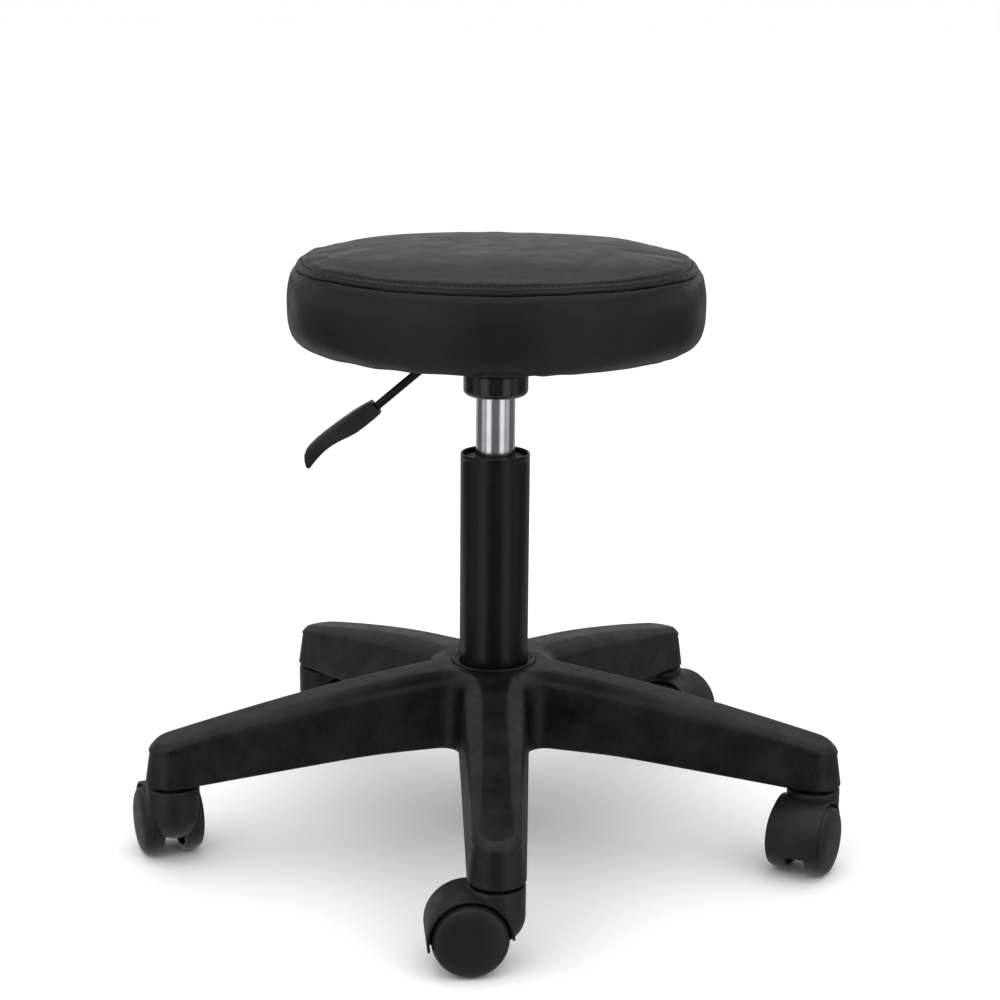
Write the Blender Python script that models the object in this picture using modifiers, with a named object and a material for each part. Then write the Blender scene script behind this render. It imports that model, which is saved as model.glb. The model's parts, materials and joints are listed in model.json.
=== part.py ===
"""Adjustable swivel stool: round padded seat, gas lift, five-arm base and twin-wheel casters.

Metres, +Z up. The floor is z = 0 and the origin is the middle of the stool's footprint on the floor.
Heights below are measured from the floor, and radii from the column's axis, unless their names say otherwise.
"""

import bpy
import bmesh
from math import cos, pi, radians, sin, sqrt
from mathutils import Matrix, Vector

# ---------------------------------------------------------------- driving dimensions

GAP = 0.0003                       # clearance between pieces that touch
COLUMN_AT = (0.00528, 0.02098)     # column axis, seen from the middle of the footprint

# five-arm base
ARM_COUNT = 5
FIRST_ARM = radians(-89.1)         # direction of the arm that points forward
STEM_CIRCLE = 0.2389               # radius of the circle through the caster stems
ARM_END_RADIUS = 0.0192            # the arm's round end
ARM_FLARE = 0.033                  # growth of the arm's half width per metre towards the hub
ARM_WALL = 0.0034
ARM_DROP = 0.0392                  # fall of the arm's top from the hub to its end
ARM_DROP_POWER = 1.45
HUB_TOP = 0.1270
HUB_BOTTOM = 0.0700
HUB_RADIUS = 0.0500
SOCKET_BOTTOM = 0.0610
SOCKET_RADIUS = 0.0322
ARM_BOTTOM = 0.0710                # underside of the arms near the hub
ARM_LEVEL_TO = 0.1000              # radius where the underside starts to slope
TIP_BOTTOM = 0.0590
SHOULDER = 0.0050                  # height of the bevel beside the arm's top panel
RING_RADIUS = 0.0308               # ring let into the hub's top, round the column
RING_DEPTH = 0.0035
RIB_THICKNESS = 0.0024
RIB_STATIONS = (0.036, 0.096, 0.162, 0.2275)

# gas lift
COLUMN_RADIUS = 0.0250
COLUMN_WALL = 0.0015
COLUMN_TOP = 0.2820
COLUMN_FOOT = 0.0620
COLUMN_TAPER_TOP = 0.1220
COLUMN_TAPER = 0.0200              # radius lost per metre of taper
COLUMN_FLOOR = 0.0030
CYLINDER_RADIUS = 0.0140
CYLINDER_WALL = 0.0015
CYLINDER_FOOT = 0.0785
CYLINDER_TOP = 0.3420
CYLINDER_TAPER_FOOT = 0.3200
CYLINDER_TAPER = 0.0280            # radius lost per metre of taper
ROD_RADIUS = 0.0050
ROD_NECK_RADIUS = 0.0040
SEAL_LENGTH = 0.0170
BUSH_FOOT = 0.2120
BUSH_TOP = 0.2790
VALVE_RADIUS = 0.0031
STROKE = 0.1250                    # travel of the seat

# seat
SEAT_RADIUS = 0.1474
SEAT_WIDEST = 0.3908
SEAM_RADIUS = 0.1412
SEAM_HEIGHT = 0.4166
SEAM_THICKNESS = 0.0018
SEAT_TOP = 0.4316
SEAT_BOTTOM = 0.3612
SEAT_FOOT_RADIUS = 0.1220
SIDE_POWER = 3.26                  # squareness of the band below its widest place
LEAN_POWER = 2.6                   # how late the band leans inwards above its widest place
CROWN_FLAT = 0.0500                # radius of the top panel's level middle
CROWN_POWER = 3.1                  # how late the panel falls between that middle and the seam
COVER = 0.0012
HEM_INNER = 0.1120                 # the cover's hem is stapled under the board
HEM_OUTER = 0.1310
BOARD_RADIUS = 0.1320
BOARD_THICKNESS = 0.0120
PLATE_TOP = 0.3623
PLATE_THICKNESS = 0.0025
PLATE_SIDE = 0.1500
BOLT_SPACING = 0.1000
CUP_RADIUS = 0.0232
CUP_BOTTOM = 0.3240
CUP_TOP = 0.3402

# release lever
PIVOT_X = -0.0200
LEVER_Z = 0.3510
LEVER_RADIUS = 0.0030
PIN_RADIUS = 0.0015
LEVER_BEND_X = -0.0426
LEVER_SLOPE = radians(40.5)
HANDLE_X = -0.0850                 # socket end of the handle
HANDLE_BREADTH = 0.0140

# casters
WHEEL_RADIUS = 0.0250
WHEEL_INNER = 0.0076               # a wheel's faces, from the middle of its caster
WHEEL_EDGE = 0.0172                # where the tread ends and the domed face begins
WHEEL_OUTER = 0.0230
TRAIL = 0.0175                     # from the stem's axis to the wheels' axle
HOOD_RADIUS = 0.0280
HOOD_HALF_WIDTH = 0.0180
HOOD_POCKET = 0.0262
HOOD_TAIL = 14.0                   # degrees that the guard reaches below the axle
WEB_HALF_WIDTH = 0.0068
NECK_RADIUS = 0.0186
NECK_TOP = 0.0562
NECK_FOOT = 0.0168
NECK_DOME = 0.0188                 # height of the neck's domed foot
STEM_RADIUS = 0.0055
STEM_FOOT = 0.0420
STEM_TOP = 0.0830
AXLE_RADIUS = 0.0040
CASTER_TURNS = {                   # direction in which each caster trails, in degrees
    "front": -174.5,
    "right": -117.0,
    "back_right": -38.0,
    "back_left": 17.0,
    "left": 112.0,
}

BLACK_NYLON = (0.018, 0.018, 0.020)
BLACK_PAINT = (0.012, 0.012, 0.013)
BLACK_VINYL = (0.016, 0.016, 0.018)
STEEL = (0.56, 0.57, 0.58)
ZINC = (0.62, 0.63, 0.60)

# ---------------------------------------------------------------- scene, materials and mesh tools

for old in list(bpy.data.objects):
    bpy.data.objects.remove(old)

parts = bpy.data.collections.new("swivel_stool")
cutters = bpy.data.collections.new("swivel_stool_cutters")
for group in (parts, cutters):
    bpy.context.scene.collection.children.link(group)


def material(name, colour, roughness, metallic=0.0):
    found = bpy.data.materials.new(name)
    found.use_nodes = True
    shader = found.node_tree.nodes["Principled BSDF"]
    shader.inputs["Base Color"].default_value = (*colour, 1.0)
    shader.inputs["Roughness"].default_value = roughness
    shader.inputs["Metallic"].default_value = metallic
    found.diffuse_color = (*colour, 1.0)
    return found


def pivot(name, location, parent=None, turn=0.0):
    """An empty on a joint's axis, which the pieces that share it hang from."""
    empty = bpy.data.objects.new(name, None)
    empty.empty_display_size = 0.03
    empty.location = location
    empty.rotation_euler = (0.0, 0.0, turn)
    empty.parent = parent
    parts.objects.link(empty)
    return empty


def place(name, mesh, colour, parent, location=(0, 0, 0), rotation=(0, 0, 0)):
    piece = bpy.data.objects.new(name, mesh)
    piece.location = location
    piece.rotation_euler = rotation
    piece.parent = parent
    parts.objects.link(piece)
    mesh.materials.clear()
    mesh.materials.append(colour)
    return piece


def evaluated_mesh(piece, name):
    bpy.context.view_layer.update()
    source = piece.evaluated_get(bpy.context.evaluated_depsgraph_get())
    mesh = bpy.data.meshes.new_from_object(source)
    mesh.name = name
    return mesh


def smooth(mesh, angle=35.0):
    mesh.shade_smooth()
    mesh.set_sharp_from_angle(angle=radians(angle))
    return mesh


def turned(name, profile, steps=24):
    """A solid of revolution about Z. The profile runs down its outer side, and up a ring's inner side."""
    mesh = bpy.data.meshes.new(name + "_profile")
    points = [(r, 0.0, z) for r, z in profile]
    is_ring = all(r > 0 for r, z in profile)
    edges = [(i, i + 1) for i in range(len(points) - 1)]
    if is_ring:
        edges.append((len(points) - 1, 0))
    mesh.from_pydata(points, edges, [])
    piece = bpy.data.objects.new(name + "_profile", mesh)
    bpy.context.scene.collection.objects.link(piece)
    screw = piece.modifiers.new("turn", 'SCREW')
    screw.axis = 'Z'
    screw.steps = screw.render_steps = steps
    screw.use_merge_vertices = True
    screw.merge_threshold = 0.00001
    solid = evaluated_mesh(piece, name)
    bpy.data.objects.remove(piece)
    return smooth(solid)


def outline_solid(name, corners, thickness, bevel=0.0):
    """A flat outline in XY, given thickness about z = 0, with bevelled edges that stay inside the outline."""
    curve = bpy.data.curves.new(name + "_outline", 'CURVE')
    curve.dimensions = '2D'
    curve.fill_mode = 'BOTH'
    curve.extrude = thickness / 2 - bevel
    curve.bevel_depth = bevel
    curve.bevel_resolution = 1
    curve.offset = -bevel
    spline = curve.splines.new('POLY')
    spline.points.add(len(corners) - 1)
    for point, (x, y) in zip(spline.points, corners):
        point.co = (x, y, 0.0, 1.0)
    spline.use_cyclic_u = True
    return curve_mesh(name, curve)


def rod_solid(name, points, radius, resolution=3):
    """A round rod along straight runs between the points."""
    curve = bpy.data.curves.new(name + "_line", 'CURVE')
    curve.dimensions = '3D'
    curve.bevel_depth = radius
    curve.bevel_resolution = resolution
    curve.use_fill_caps = True
    spline = curve.splines.new('POLY')
    spline.points.add(len(points) - 1)
    for point, place_at in zip(spline.points, points):
        point.co = (*place_at, 1.0)
    return curve_mesh(name, curve)


def curve_mesh(name, curve):
    guide = bpy.data.objects.new(name + "_curve", curve)
    bpy.context.scene.collection.objects.link(guide)
    mesh = evaluated_mesh(guide, name)
    bpy.data.objects.remove(guide)
    tidy = bmesh.new()
    tidy.from_mesh(mesh)
    bmesh.ops.remove_doubles(tidy, verts=tidy.verts, dist=0.00001)
    bmesh.ops.recalc_face_normals(tidy, faces=tidy.faces)
    tidy.to_mesh(mesh)
    tidy.free()
    return smooth(mesh)


def loft(solids):
    """Closed solids, each a row of cross-sections with equally many points."""
    made = bmesh.new()
    for sections in solids:
        rings = [[made.verts.new(point) for point in section] for section in sections]
        for near, far in zip(rings, rings[1:]):
            for i in range(len(near)):
                j = (i + 1) % len(near)
                made.faces.new((near[i], near[j], far[j], far[i]))
        made.faces.new(list(reversed(rings[0])))
        made.faces.new(rings[-1])
    bmesh.ops.recalc_face_normals(made, faces=made.faces)
    mesh = bpy.data.meshes.new("loft")
    made.to_mesh(mesh)
    made.free()
    return mesh


def box_mesh(name, low, high):
    made = bmesh.new()
    middle = (Vector(low) + Vector(high)) / 2
    size = Vector(high) - Vector(low)
    bmesh.ops.create_cube(made, size=1.0, matrix=Matrix.Translation(middle) @ Matrix.Diagonal((*size, 1.0)))
    mesh = bpy.data.meshes.new(name)
    made.to_mesh(mesh)
    made.free()
    return mesh


def cylinder_mesh(name, radius, low, high, steps=16, middle=(0.0, 0.0), lying=False):
    """A cylinder along Z, or along Y if it lies, from low to high."""
    made = bmesh.new()
    half_step = Matrix.Rotation(pi / steps, 4, 'Z')
    bmesh.ops.create_cone(made, cap_ends=True, segments=steps, radius1=radius, radius2=radius,
                          depth=high - low, matrix=half_step)
    if lying:
        turn = Matrix.Translation((middle[0], (low + high) / 2, middle[1])) @ Matrix.Rotation(pi / 2, 4, 'X')
    else:
        turn = Matrix.Translation((middle[0], middle[1], (low + high) / 2))
    bmesh.ops.transform(made, matrix=turn, verts=made.verts)
    mesh = bpy.data.meshes.new(name)
    made.to_mesh(mesh)
    made.free()
    return mesh


def cut(piece, mesh, turn=0.0):
    """Takes a cutter's shape, given in the piece's own frame, out of the piece."""
    cutter = bpy.data.objects.new(piece.name + "_cutter", mesh)
    cutter.parent = piece
    cutter.rotation_euler = (0.0, 0.0, turn)
    cutter.hide_render = True
    cutter.display_type = 'WIRE'
    cutters.objects.link(cutter)
    boolean = piece.modifiers.new("cut", 'BOOLEAN')
    boolean.operation = 'DIFFERENCE'
    boolean.solver = 'EXACT'
    boolean.object = cutter


def joined(name, meshes, less=()):
    """One mesh made by the union of several, less some others, all in the same frame."""
    pieces = [bpy.data.objects.new(name + "_join", mesh) for mesh in (*meshes, *less)]
    for piece in pieces:
        bpy.context.scene.collection.objects.link(piece)
    for i, other in enumerate(pieces[1:], 1):
        boolean = pieces[0].modifiers.new("join", 'BOOLEAN')
        boolean.operation = 'UNION' if i < len(meshes) else 'DIFFERENCE'
        boolean.solver = 'EXACT'
        boolean.object = other
    mesh = evaluated_mesh(pieces[0], name)
    for piece in pieces:
        bpy.data.objects.remove(piece)
    return smooth(mesh)


def arc(centre, radius, start, end, steps):
    """Points on a circle from one angle to another, in degrees."""
    angles = [radians(start + (end - start) * i / steps) for i in range(steps + 1)]
    return [(centre[0] + radius * cos(a), centre[1] + radius * sin(a)) for a in angles]


# ---------------------------------------------------------------- five-arm base

def arm_top(r):
    """Level up to the hub ring, then falling ever faster towards the arm's end."""
    reach = STEM_CIRCLE + ARM_END_RADIUS - RING_RADIUS
    return HUB_TOP - GAP - ARM_DROP * (max(r - RING_RADIUS, 0.0) / reach) ** ARM_DROP_POWER


def arm_bottom(r):
    """Level near the hub, then sloping gently down to the arm's end."""
    along = min(max((r - ARM_LEVEL_TO) / (STEM_CIRCLE - ARM_LEVEL_TO), 0.0), 1.0)
    return ARM_BOTTOM + (TIP_BOTTOM - ARM_BOTTOM) * along


def arm_half_width(r):
    if r > STEM_CIRCLE:
        return sqrt(max(ARM_END_RADIUS ** 2 - (r - STEM_CIRCLE) ** 2, 0.0))
    return ARM_END_RADIUS + ARM_FLARE * (STEM_CIRCLE - r)


def arm_section(r):
    """Level floor, drafted sides and bevelled shoulders under a flat top panel."""
    half, top, floor = arm_half_width(r), arm_top(r), arm_bottom(r)
    shoulder = half * 0.95
    panel = half * 0.72
    side = [(-half, floor), (-shoulder, top - SHOULDER), (-panel, top)]
    mirrored = [(-y, z) for y, z in reversed(side)]
    return [(r, y, z) for y, z in side + mirrored]


def arm_mesh():
    straight = [0.020, 0.070, 0.125, 0.185, STEM_CIRCLE]
    rounded = [STEM_CIRCLE + ARM_END_RADIUS * sin(radians(a)) for a in (28, 50, 68, 84)]
    return loft([[arm_section(r) for r in straight + rounded]])


def arm_hollows():
    """The open pockets under an arm, on both sides of its long rib and between its cross ribs."""
    hollows = []
    for near, far in zip(RIB_STATIONS, RIB_STATIONS[1:]):
        near, far = near + RIB_THICKNESS / 2, far - RIB_THICKNESS / 2
        for side in (-1, 1):
            sections = []
            for r in (near, (near + far) / 2, far):
                wide = arm_half_width(r) * 0.95 - ARM_WALL
                top, floor = arm_top(r) - ARM_WALL, arm_bottom(r) - 0.004
                corners = [(RIB_THICKNESS / 2, floor), (wide, floor), (wide, top - SHOULDER),
                           (wide - SHOULDER, top), (RIB_THICKNESS / 2, top)]
                sections.append([(r, side * y, z) for y, z in corners])
            hollows.append(sections)
    return loft(hollows)


def add_base_star(parent, nylon):
    """Hub and arms in one moulding, hollow below: a taper bore for the column, a socket in each arm's end."""
    rounded_edge = [(0.0340, HUB_TOP), (0.0440, HUB_TOP - 0.0010), (0.0490, HUB_TOP - 0.0045),
                    (HUB_RADIUS, HUB_TOP - 0.0085)]
    foot = [(HUB_RADIUS, HUB_BOTTOM), (SOCKET_RADIUS, HUB_BOTTOM), (SOCKET_RADIUS, SOCKET_BOTTOM)]
    meshes = [turned("hub", [(0, HUB_TOP)] + rounded_edge + foot + [(0, SOCKET_BOTTOM)])]
    for i in range(ARM_COUNT):
        arm = arm_mesh()
        arm.transform(Matrix.Rotation(FIRST_ARM + 2 * pi * i / ARM_COUNT, 4, 'Z'))
        meshes.append(arm)
    star = place("base_star", joined("base_star", meshes), nylon, parent)
    hollows = arm_hollows()
    stem_hole = cylinder_mesh("stem_hole", STEM_RADIUS + 2 * GAP, TIP_BOTTOM - 0.006, STEM_TOP + 0.001,
                              12, (STEM_CIRCLE, 0.0))
    for i in range(ARM_COUNT):
        direction = FIRST_ARM + 2 * pi * i / ARM_COUNT
        cut(star, hollows, direction)
        cut(star, stem_hole, direction)
    clear, seat_radius = 0.0004, RING_RADIUS + 0.0005
    above, ledge, below = HUB_TOP + 0.010, HUB_TOP - RING_DEPTH - GAP, SOCKET_BOTTOM - 0.005
    ring_seat = [(0, above), (seat_radius, above), (seat_radius, ledge)]
    bore = [(COLUMN_RADIUS + clear, ledge), (COLUMN_RADIUS + clear, COLUMN_TAPER_TOP),
            (column_side(below) + clear, below), (0, below)]
    cut(star, turned("column_bore", ring_seat + bore, 26))


def add_hub_ring(parent, paint):
    inner, proud, edge = COLUMN_RADIUS + 0.0005, 0.0006, 0.0008
    profile = [(RING_RADIUS - edge, HUB_TOP + proud), (RING_RADIUS, HUB_TOP + proud - edge),
               (RING_RADIUS, HUB_TOP - RING_DEPTH), (inner, HUB_TOP - RING_DEPTH), (inner, HUB_TOP + proud)]
    place("hub_ring", turned("hub_ring", profile, 28), paint, parent)


# ---------------------------------------------------------------- gas lift

def column_side(z):
    """Outer radius of the column tube, which tapers where it sits in the hub."""
    return COLUMN_RADIUS - COLUMN_TAPER * max(COLUMN_TAPER_TOP - z, 0.0)


def add_column_tube(parent, paint):
    """Outer tube, open at the top, whose floor has the hole for the piston rod's neck."""
    inner = COLUMN_RADIUS - COLUMN_WALL
    foot = column_side(COLUMN_FOOT)
    floor = COLUMN_FOOT + COLUMN_FLOOR
    neck_hole = ROD_NECK_RADIUS + 0.0004
    rim = 0.0005
    profile = [(inner + rim, COLUMN_TOP), (COLUMN_RADIUS - rim, COLUMN_TOP),
               (COLUMN_RADIUS, COLUMN_TOP - rim), (COLUMN_RADIUS, COLUMN_TAPER_TOP), (foot, COLUMN_FOOT),
               (neck_hole, COLUMN_FOOT), (neck_hole, floor), (foot - COLUMN_WALL, floor),
               (inner, COLUMN_TAPER_TOP)]
    place("column_tube", turned("column_tube", profile, 28), paint, parent)


def add_guide_bush(parent, plastic):
    outer = COLUMN_RADIUS - COLUMN_WALL - GAP
    inner, lead_in = CYLINDER_RADIUS + GAP, 0.0012
    profile = [(inner + lead_in, BUSH_TOP), (outer, BUSH_TOP), (outer, BUSH_FOOT), (inner, BUSH_FOOT),
               (inner, BUSH_TOP - lead_in)]
    place("guide_bush", turned("guide_bush", profile), plastic, parent)


def add_thrust_bearing(column, spindle, steel, rubber):
    """Lower race on the column's floor, caged balls and upper race, and the bumper the cylinder lands on."""
    plate, ball_radius, ball_circle, ball_count = 0.0020, 0.0020, 0.0122, 6
    bore = ROD_RADIUS + 0.0004
    lower = COLUMN_FOOT + COLUMN_FLOOR + GAP
    race = [(0.0185, lower + plate), (0.0185, lower), (0.0060, lower), (0.0060, lower + plate)]
    place("bearing_race", turned("bearing_race", race), steel, column)

    ball_foot = lower + plate + GAP
    cage_foot, cage_top = ball_foot + 0.0012, ball_foot + 0.0036
    top = ball_foot + 2 * ball_radius + 0.0022
    upper_race_and_cage = [(0.0180, top), (0.0180, cage_top), (0.0172, cage_top), (0.0172, cage_foot),
                           (0.0072, cage_foot), (0.0072, cage_top), (bore, cage_top), (bore, top)]
    meshes = [turned("cage", upper_race_and_cage)]
    for i in range(ball_count):
        angle = 2 * pi * i / ball_count
        centre = (ball_circle * cos(angle), ball_circle * sin(angle), ball_foot + ball_radius)
        ball = bmesh.new()
        bmesh.ops.create_uvsphere(ball, u_segments=6, v_segments=4, radius=ball_radius,
                                  matrix=Matrix.Translation(centre))
        mesh = bpy.data.meshes.new("ball")
        ball.to_mesh(mesh)
        ball.free()
        meshes.append(mesh)
    place("thrust_bearing", joined("thrust_bearing", meshes), steel, spindle)

    bumper = [(0.0160, CYLINDER_FOOT - GAP), (0.0172, CYLINDER_FOOT - 0.0018), (0.0172, top + GAP),
              (bore, top + GAP), (bore, CYLINDER_FOOT - GAP)]
    place("rubber_bumper", turned("rubber_bumper", bumper, 20), rubber, spindle)


def add_piston(spindle, steel, plastic):
    """Piston on a rod that ends below the column's floor, and the clip that holds the rod there."""
    foot = COLUMN_FOOT - 0.0052
    groove_foot, groove_top, groove_radius = foot + 0.0018, foot + 0.0036, 0.0032
    neck_top = COLUMN_FOOT + COLUMN_FLOOR + 0.0030
    piston_foot = CYLINDER_FOOT + STROKE + SEAL_LENGTH + 0.0030
    piston_top = piston_foot + 0.0090
    rivet = [(0, piston_top + 0.0020), (ROD_RADIUS, piston_top + 0.0020), (ROD_RADIUS, piston_top + GAP),
             (ROD_NECK_RADIUS, piston_top + GAP), (ROD_NECK_RADIUS, piston_foot - GAP)]
    shank = [(ROD_RADIUS, piston_foot - GAP), (ROD_RADIUS, neck_top), (ROD_NECK_RADIUS, neck_top)]
    groove = [(ROD_NECK_RADIUS, groove_top), (groove_radius, groove_top), (groove_radius, groove_foot),
              (ROD_NECK_RADIUS, groove_foot), (ROD_NECK_RADIUS - 0.0006, foot), (0, foot)]
    place("piston_rod", turned("piston_rod", rivet + shank + groove, 14), steel, spindle)

    outer, inner = CYLINDER_RADIUS - CYLINDER_WALL - GAP, ROD_NECK_RADIUS + GAP
    piston = [(outer, piston_top), (outer, piston_foot), (inner, piston_foot), (inner, piston_top)]
    place("piston", turned("piston", piston, 20), plastic, spindle)

    outer, inner = 0.0080, groove_radius + GAP
    clip = [(outer, groove_top - GAP), (outer, groove_foot + GAP), (inner, groove_foot + GAP),
            (inner, groove_top - GAP)]
    place("rod_clip", turned("rod_clip", clip, 16), steel, spindle)


def cylinder_side(z):
    """Outer radius of the gas cylinder, whose head tapers."""
    return CYLINDER_RADIUS - CYLINDER_TAPER * max(z - CYLINDER_TAPER_FOOT, 0.0)


def add_gas_cylinder(seat, chrome):
    """The pressure tube: open foot for the rod, thick tapered head with the valve hole."""
    inner, valve_hole = CYLINDER_RADIUS - CYLINDER_WALL, VALVE_RADIUS + GAP
    head = CYLINDER_TOP - 0.0240
    edge = CYLINDER_TOP - 0.0010
    profile = [(cylinder_side(edge) - 0.0008, CYLINDER_TOP), (cylinder_side(edge), edge),
               (CYLINDER_RADIUS, CYLINDER_TAPER_FOOT), (CYLINDER_RADIUS, CYLINDER_FOOT),
               (inner, CYLINDER_FOOT), (inner, head), (valve_hole, head), (valve_hole, CYLINDER_TOP)]
    place("gas_cylinder", turned("gas_cylinder", profile, 28), chrome, seat)


def add_rod_seal(seat, rubber):
    outer, inner = CYLINDER_RADIUS - CYLINDER_WALL - GAP, ROD_RADIUS + GAP
    foot = CYLINDER_FOOT + 0.0006
    top = foot + SEAL_LENGTH
    profile = [(outer, top), (outer, foot), (inner, foot), (inner, top)]
    place("rod_seal", turned("rod_seal", profile, 20), rubber, seat)


def add_release_button(seat, steel):
    """Valve pin with a round head, which the lever presses down."""
    top = LEVER_Z - LEVER_RADIUS - GAP
    head_radius, head_foot, edge = 0.0050, top - 0.0028, 0.0006
    foot = CYLINDER_TOP - 0.0180
    profile = [(0, top), (head_radius - edge, top), (head_radius, top - edge), (head_radius, head_foot),
               (VALVE_RADIUS, head_foot), (VALVE_RADIUS, foot), (0, foot)]
    place("release_button", turned("release_button", profile, 14), steel, seat)


# ---------------------------------------------------------------- seat plate and lever

def bolt_places():
    half = BOLT_SPACING / 2
    return [(half, half), (-half, half), (-half, -half), (half, -half)]


def add_seat_plate(seat, paint):
    """A pressed plate with a cone below it, whose foot holds the taper of the gas cylinder."""
    bottom = PLATE_TOP - PLATE_THICKNESS
    collar_top, collar_bottom, collar_radius = CUP_TOP + 0.0028, CUP_TOP + GAP, 0.0258
    knee_radius, knee, mouth_radius, wall = 0.0360, 0.3510, 0.0470, 0.0022
    inside = PLATE_TOP - 0.0005
    sleeve_radius, sleeve_foot = 0.0180, CUP_BOTTOM + 0.0022
    outer = [(mouth_radius, inside), (mouth_radius, bottom - 0.0004), (knee_radius, knee),
             (collar_radius + 0.0010, collar_top), (collar_radius, collar_top - 0.0006),
             (collar_radius, collar_bottom), (sleeve_radius, collar_bottom), (sleeve_radius, sleeve_foot)]
    inner = [(cylinder_side(sleeve_foot) + GAP, sleeve_foot), (cylinder_side(collar_top) + GAP, collar_top),
             (collar_radius - 0.0004, collar_top + 0.0003), (knee_radius - wall, knee + wall / 2),
             (mouth_radius - 0.0040, inside)]
    half, corner = PLATE_SIDE / 2, 0.018
    outline = []
    for i, (x, y) in enumerate([(1, 1), (-1, 1), (-1, -1), (1, -1)]):
        middle = (x * (half - corner), y * (half - corner))
        outline += arc(middle, corner, 90 * i, 90 * i + 90, 3)
    sheet = outline_solid("sheet", outline, PLATE_THICKNESS)
    sheet.transform(Matrix.Translation((0, 0, PLATE_TOP - PLATE_THICKNESS / 2)))
    cone = turned("cone", outer + inner, 20)
    plate = place("seat_plate", joined("seat_plate", [sheet, cone]), paint, seat)
    cut(plate, cylinder_mesh("eye", 0.0415, bottom - 0.0010, PLATE_TOP + 0.002, 18))
    slot_low, slot_high = (-0.060, -0.0048, collar_top + 0.0006), (-0.024, 0.0048, bottom - 0.0004)
    cut(plate, box_mesh("lever_slot", slot_low, slot_high))
    for x, y in bolt_places():
        cut(plate, cylinder_mesh("bolt_hole", 0.0034, bottom - 0.002, PLATE_TOP + 0.002, 10, (x, y)))


def add_taper_cup(seat, gloss):
    """Round-edged shroud round the plate's sleeve."""
    edge, floor, mouth, inner = 0.0045, CUP_BOTTOM + 0.0018, 0.0148, 0.0184
    rounded = arc((CUP_RADIUS - edge, CUP_BOTTOM + edge), edge, 0, -90, 3)
    inside = [(mouth, CUP_BOTTOM), (mouth, floor), (inner, floor), (inner, CUP_TOP)]
    profile = [(CUP_RADIUS - 0.0005, CUP_TOP)] + rounded + inside
    place("taper_cup", turned("taper_cup", profile), gloss, seat)


def add_lever_bracket(seat, steel):
    """A U over the lever's rod, with ears that hold the pivot pin."""
    top = PLATE_TOP - PLATE_THICKNESS - GAP
    low = LEVER_Z - 0.0040
    half_length, outer, inner, web = 0.0050, 0.0072, 0.0042, 0.0020
    back, front = PIVOT_X - half_length, PIVOT_X + half_length
    bracket = place("lever_bracket", box_mesh("u", (back, -outer, low), (front, outer, top)), steel, seat)
    reach = half_length + 0.0020
    room = box_mesh("rod_room", (PIVOT_X - reach, -inner, low - 0.002), (PIVOT_X + reach, inner, top - web))
    cut(bracket, room)
    pivot_at = (PIVOT_X, LEVER_Z)
    cut(bracket, cylinder_mesh("pin_hole", PIN_RADIUS + GAP, -0.010, 0.010, 12, pivot_at, lying=True))
    head_radius, head_foot, head_top = 0.0026, outer + GAP, outer + 0.0024
    pin = [(0, head_top), (head_radius, head_top), (head_radius, head_foot), (PIN_RADIUS, head_foot),
           (PIN_RADIUS, -outer - 0.0014), (0, -outer - 0.0014)]
    place("pivot_pin", turned("pivot_pin", pin, 12), steel, seat, (PIVOT_X, 0, LEVER_Z), (pi / 2, 0, 0))


def lever_line(distance):
    """A point on the sloping part of the rod's middle line, this far past its bend, from the pivot."""
    return (LEVER_BEND_X - PIVOT_X - distance * cos(LEVER_SLOPE), 0.0, -distance * sin(LEVER_SLOPE))


def handle_outline():
    """The handle seen from its side: along the rod from the socket's mouth, and across the rod, upwards."""
    upper = [(0.0, 0.0058), (0.0150, 0.0082), (0.0300, 0.0094), (0.0450, 0.0101), (0.0580, 0.0092)]
    tip = [(0.0620, 0.0074), (0.0655, 0.0030), (0.0672, -0.0022), (0.0650, -0.0030)]
    lower = [(0.0565, -0.0012), (0.0480, -0.0004), (0.0370, -0.0016), (0.0250, -0.0046), (0.0150, -0.0054),
             (0.0, -0.0054)]
    return upper + tip + lower


def add_lever(lever, steel, plastic):
    """A bent rod over the release button, and the handle pushed onto its lower end."""
    to_handle = (LEVER_BEND_X - HANDLE_X) / cos(LEVER_SLOPE)
    in_socket, bend = 0.0260, 0.0060
    start = (0.0020 - PIVOT_X, 0.0, 0.0)
    bend_start = (LEVER_BEND_X - PIVOT_X + bend, 0.0, 0.0)
    bend_middle = (LEVER_BEND_X - PIVOT_X - 0.0004, 0.0, -0.0011)
    line = [start, bend_start, bend_middle, lever_line(bend), lever_line(to_handle + in_socket)]
    rod = place("lever_rod", rod_solid("lever_rod", line, LEVER_RADIUS), steel, lever)
    cut(rod, cylinder_mesh("pin_hole", PIN_RADIUS + GAP, -0.010, 0.010, 12, lying=True))

    handle_mesh = outline_solid("lever_handle", handle_outline(), HANDLE_BREADTH, 0.0016)
    along = Vector((-cos(LEVER_SLOPE), 0.0, -sin(LEVER_SLOPE)))
    across = Vector((-sin(LEVER_SLOPE), 0.0, cos(LEVER_SLOPE)))
    frame = Matrix((along, across, along.cross(across))).transposed().to_4x4()
    frame.translation = Vector(lever_line(to_handle))
    handle_mesh.transform(frame)
    handle = place("lever_handle", handle_mesh, plastic, lever)
    socket_line = [lever_line(to_handle - 0.0040), lever_line(to_handle + in_socket + 0.0010)]
    cut(handle, rod_solid("socket", socket_line, LEVER_RADIUS + GAP))


# ---------------------------------------------------------------- seat

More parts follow.
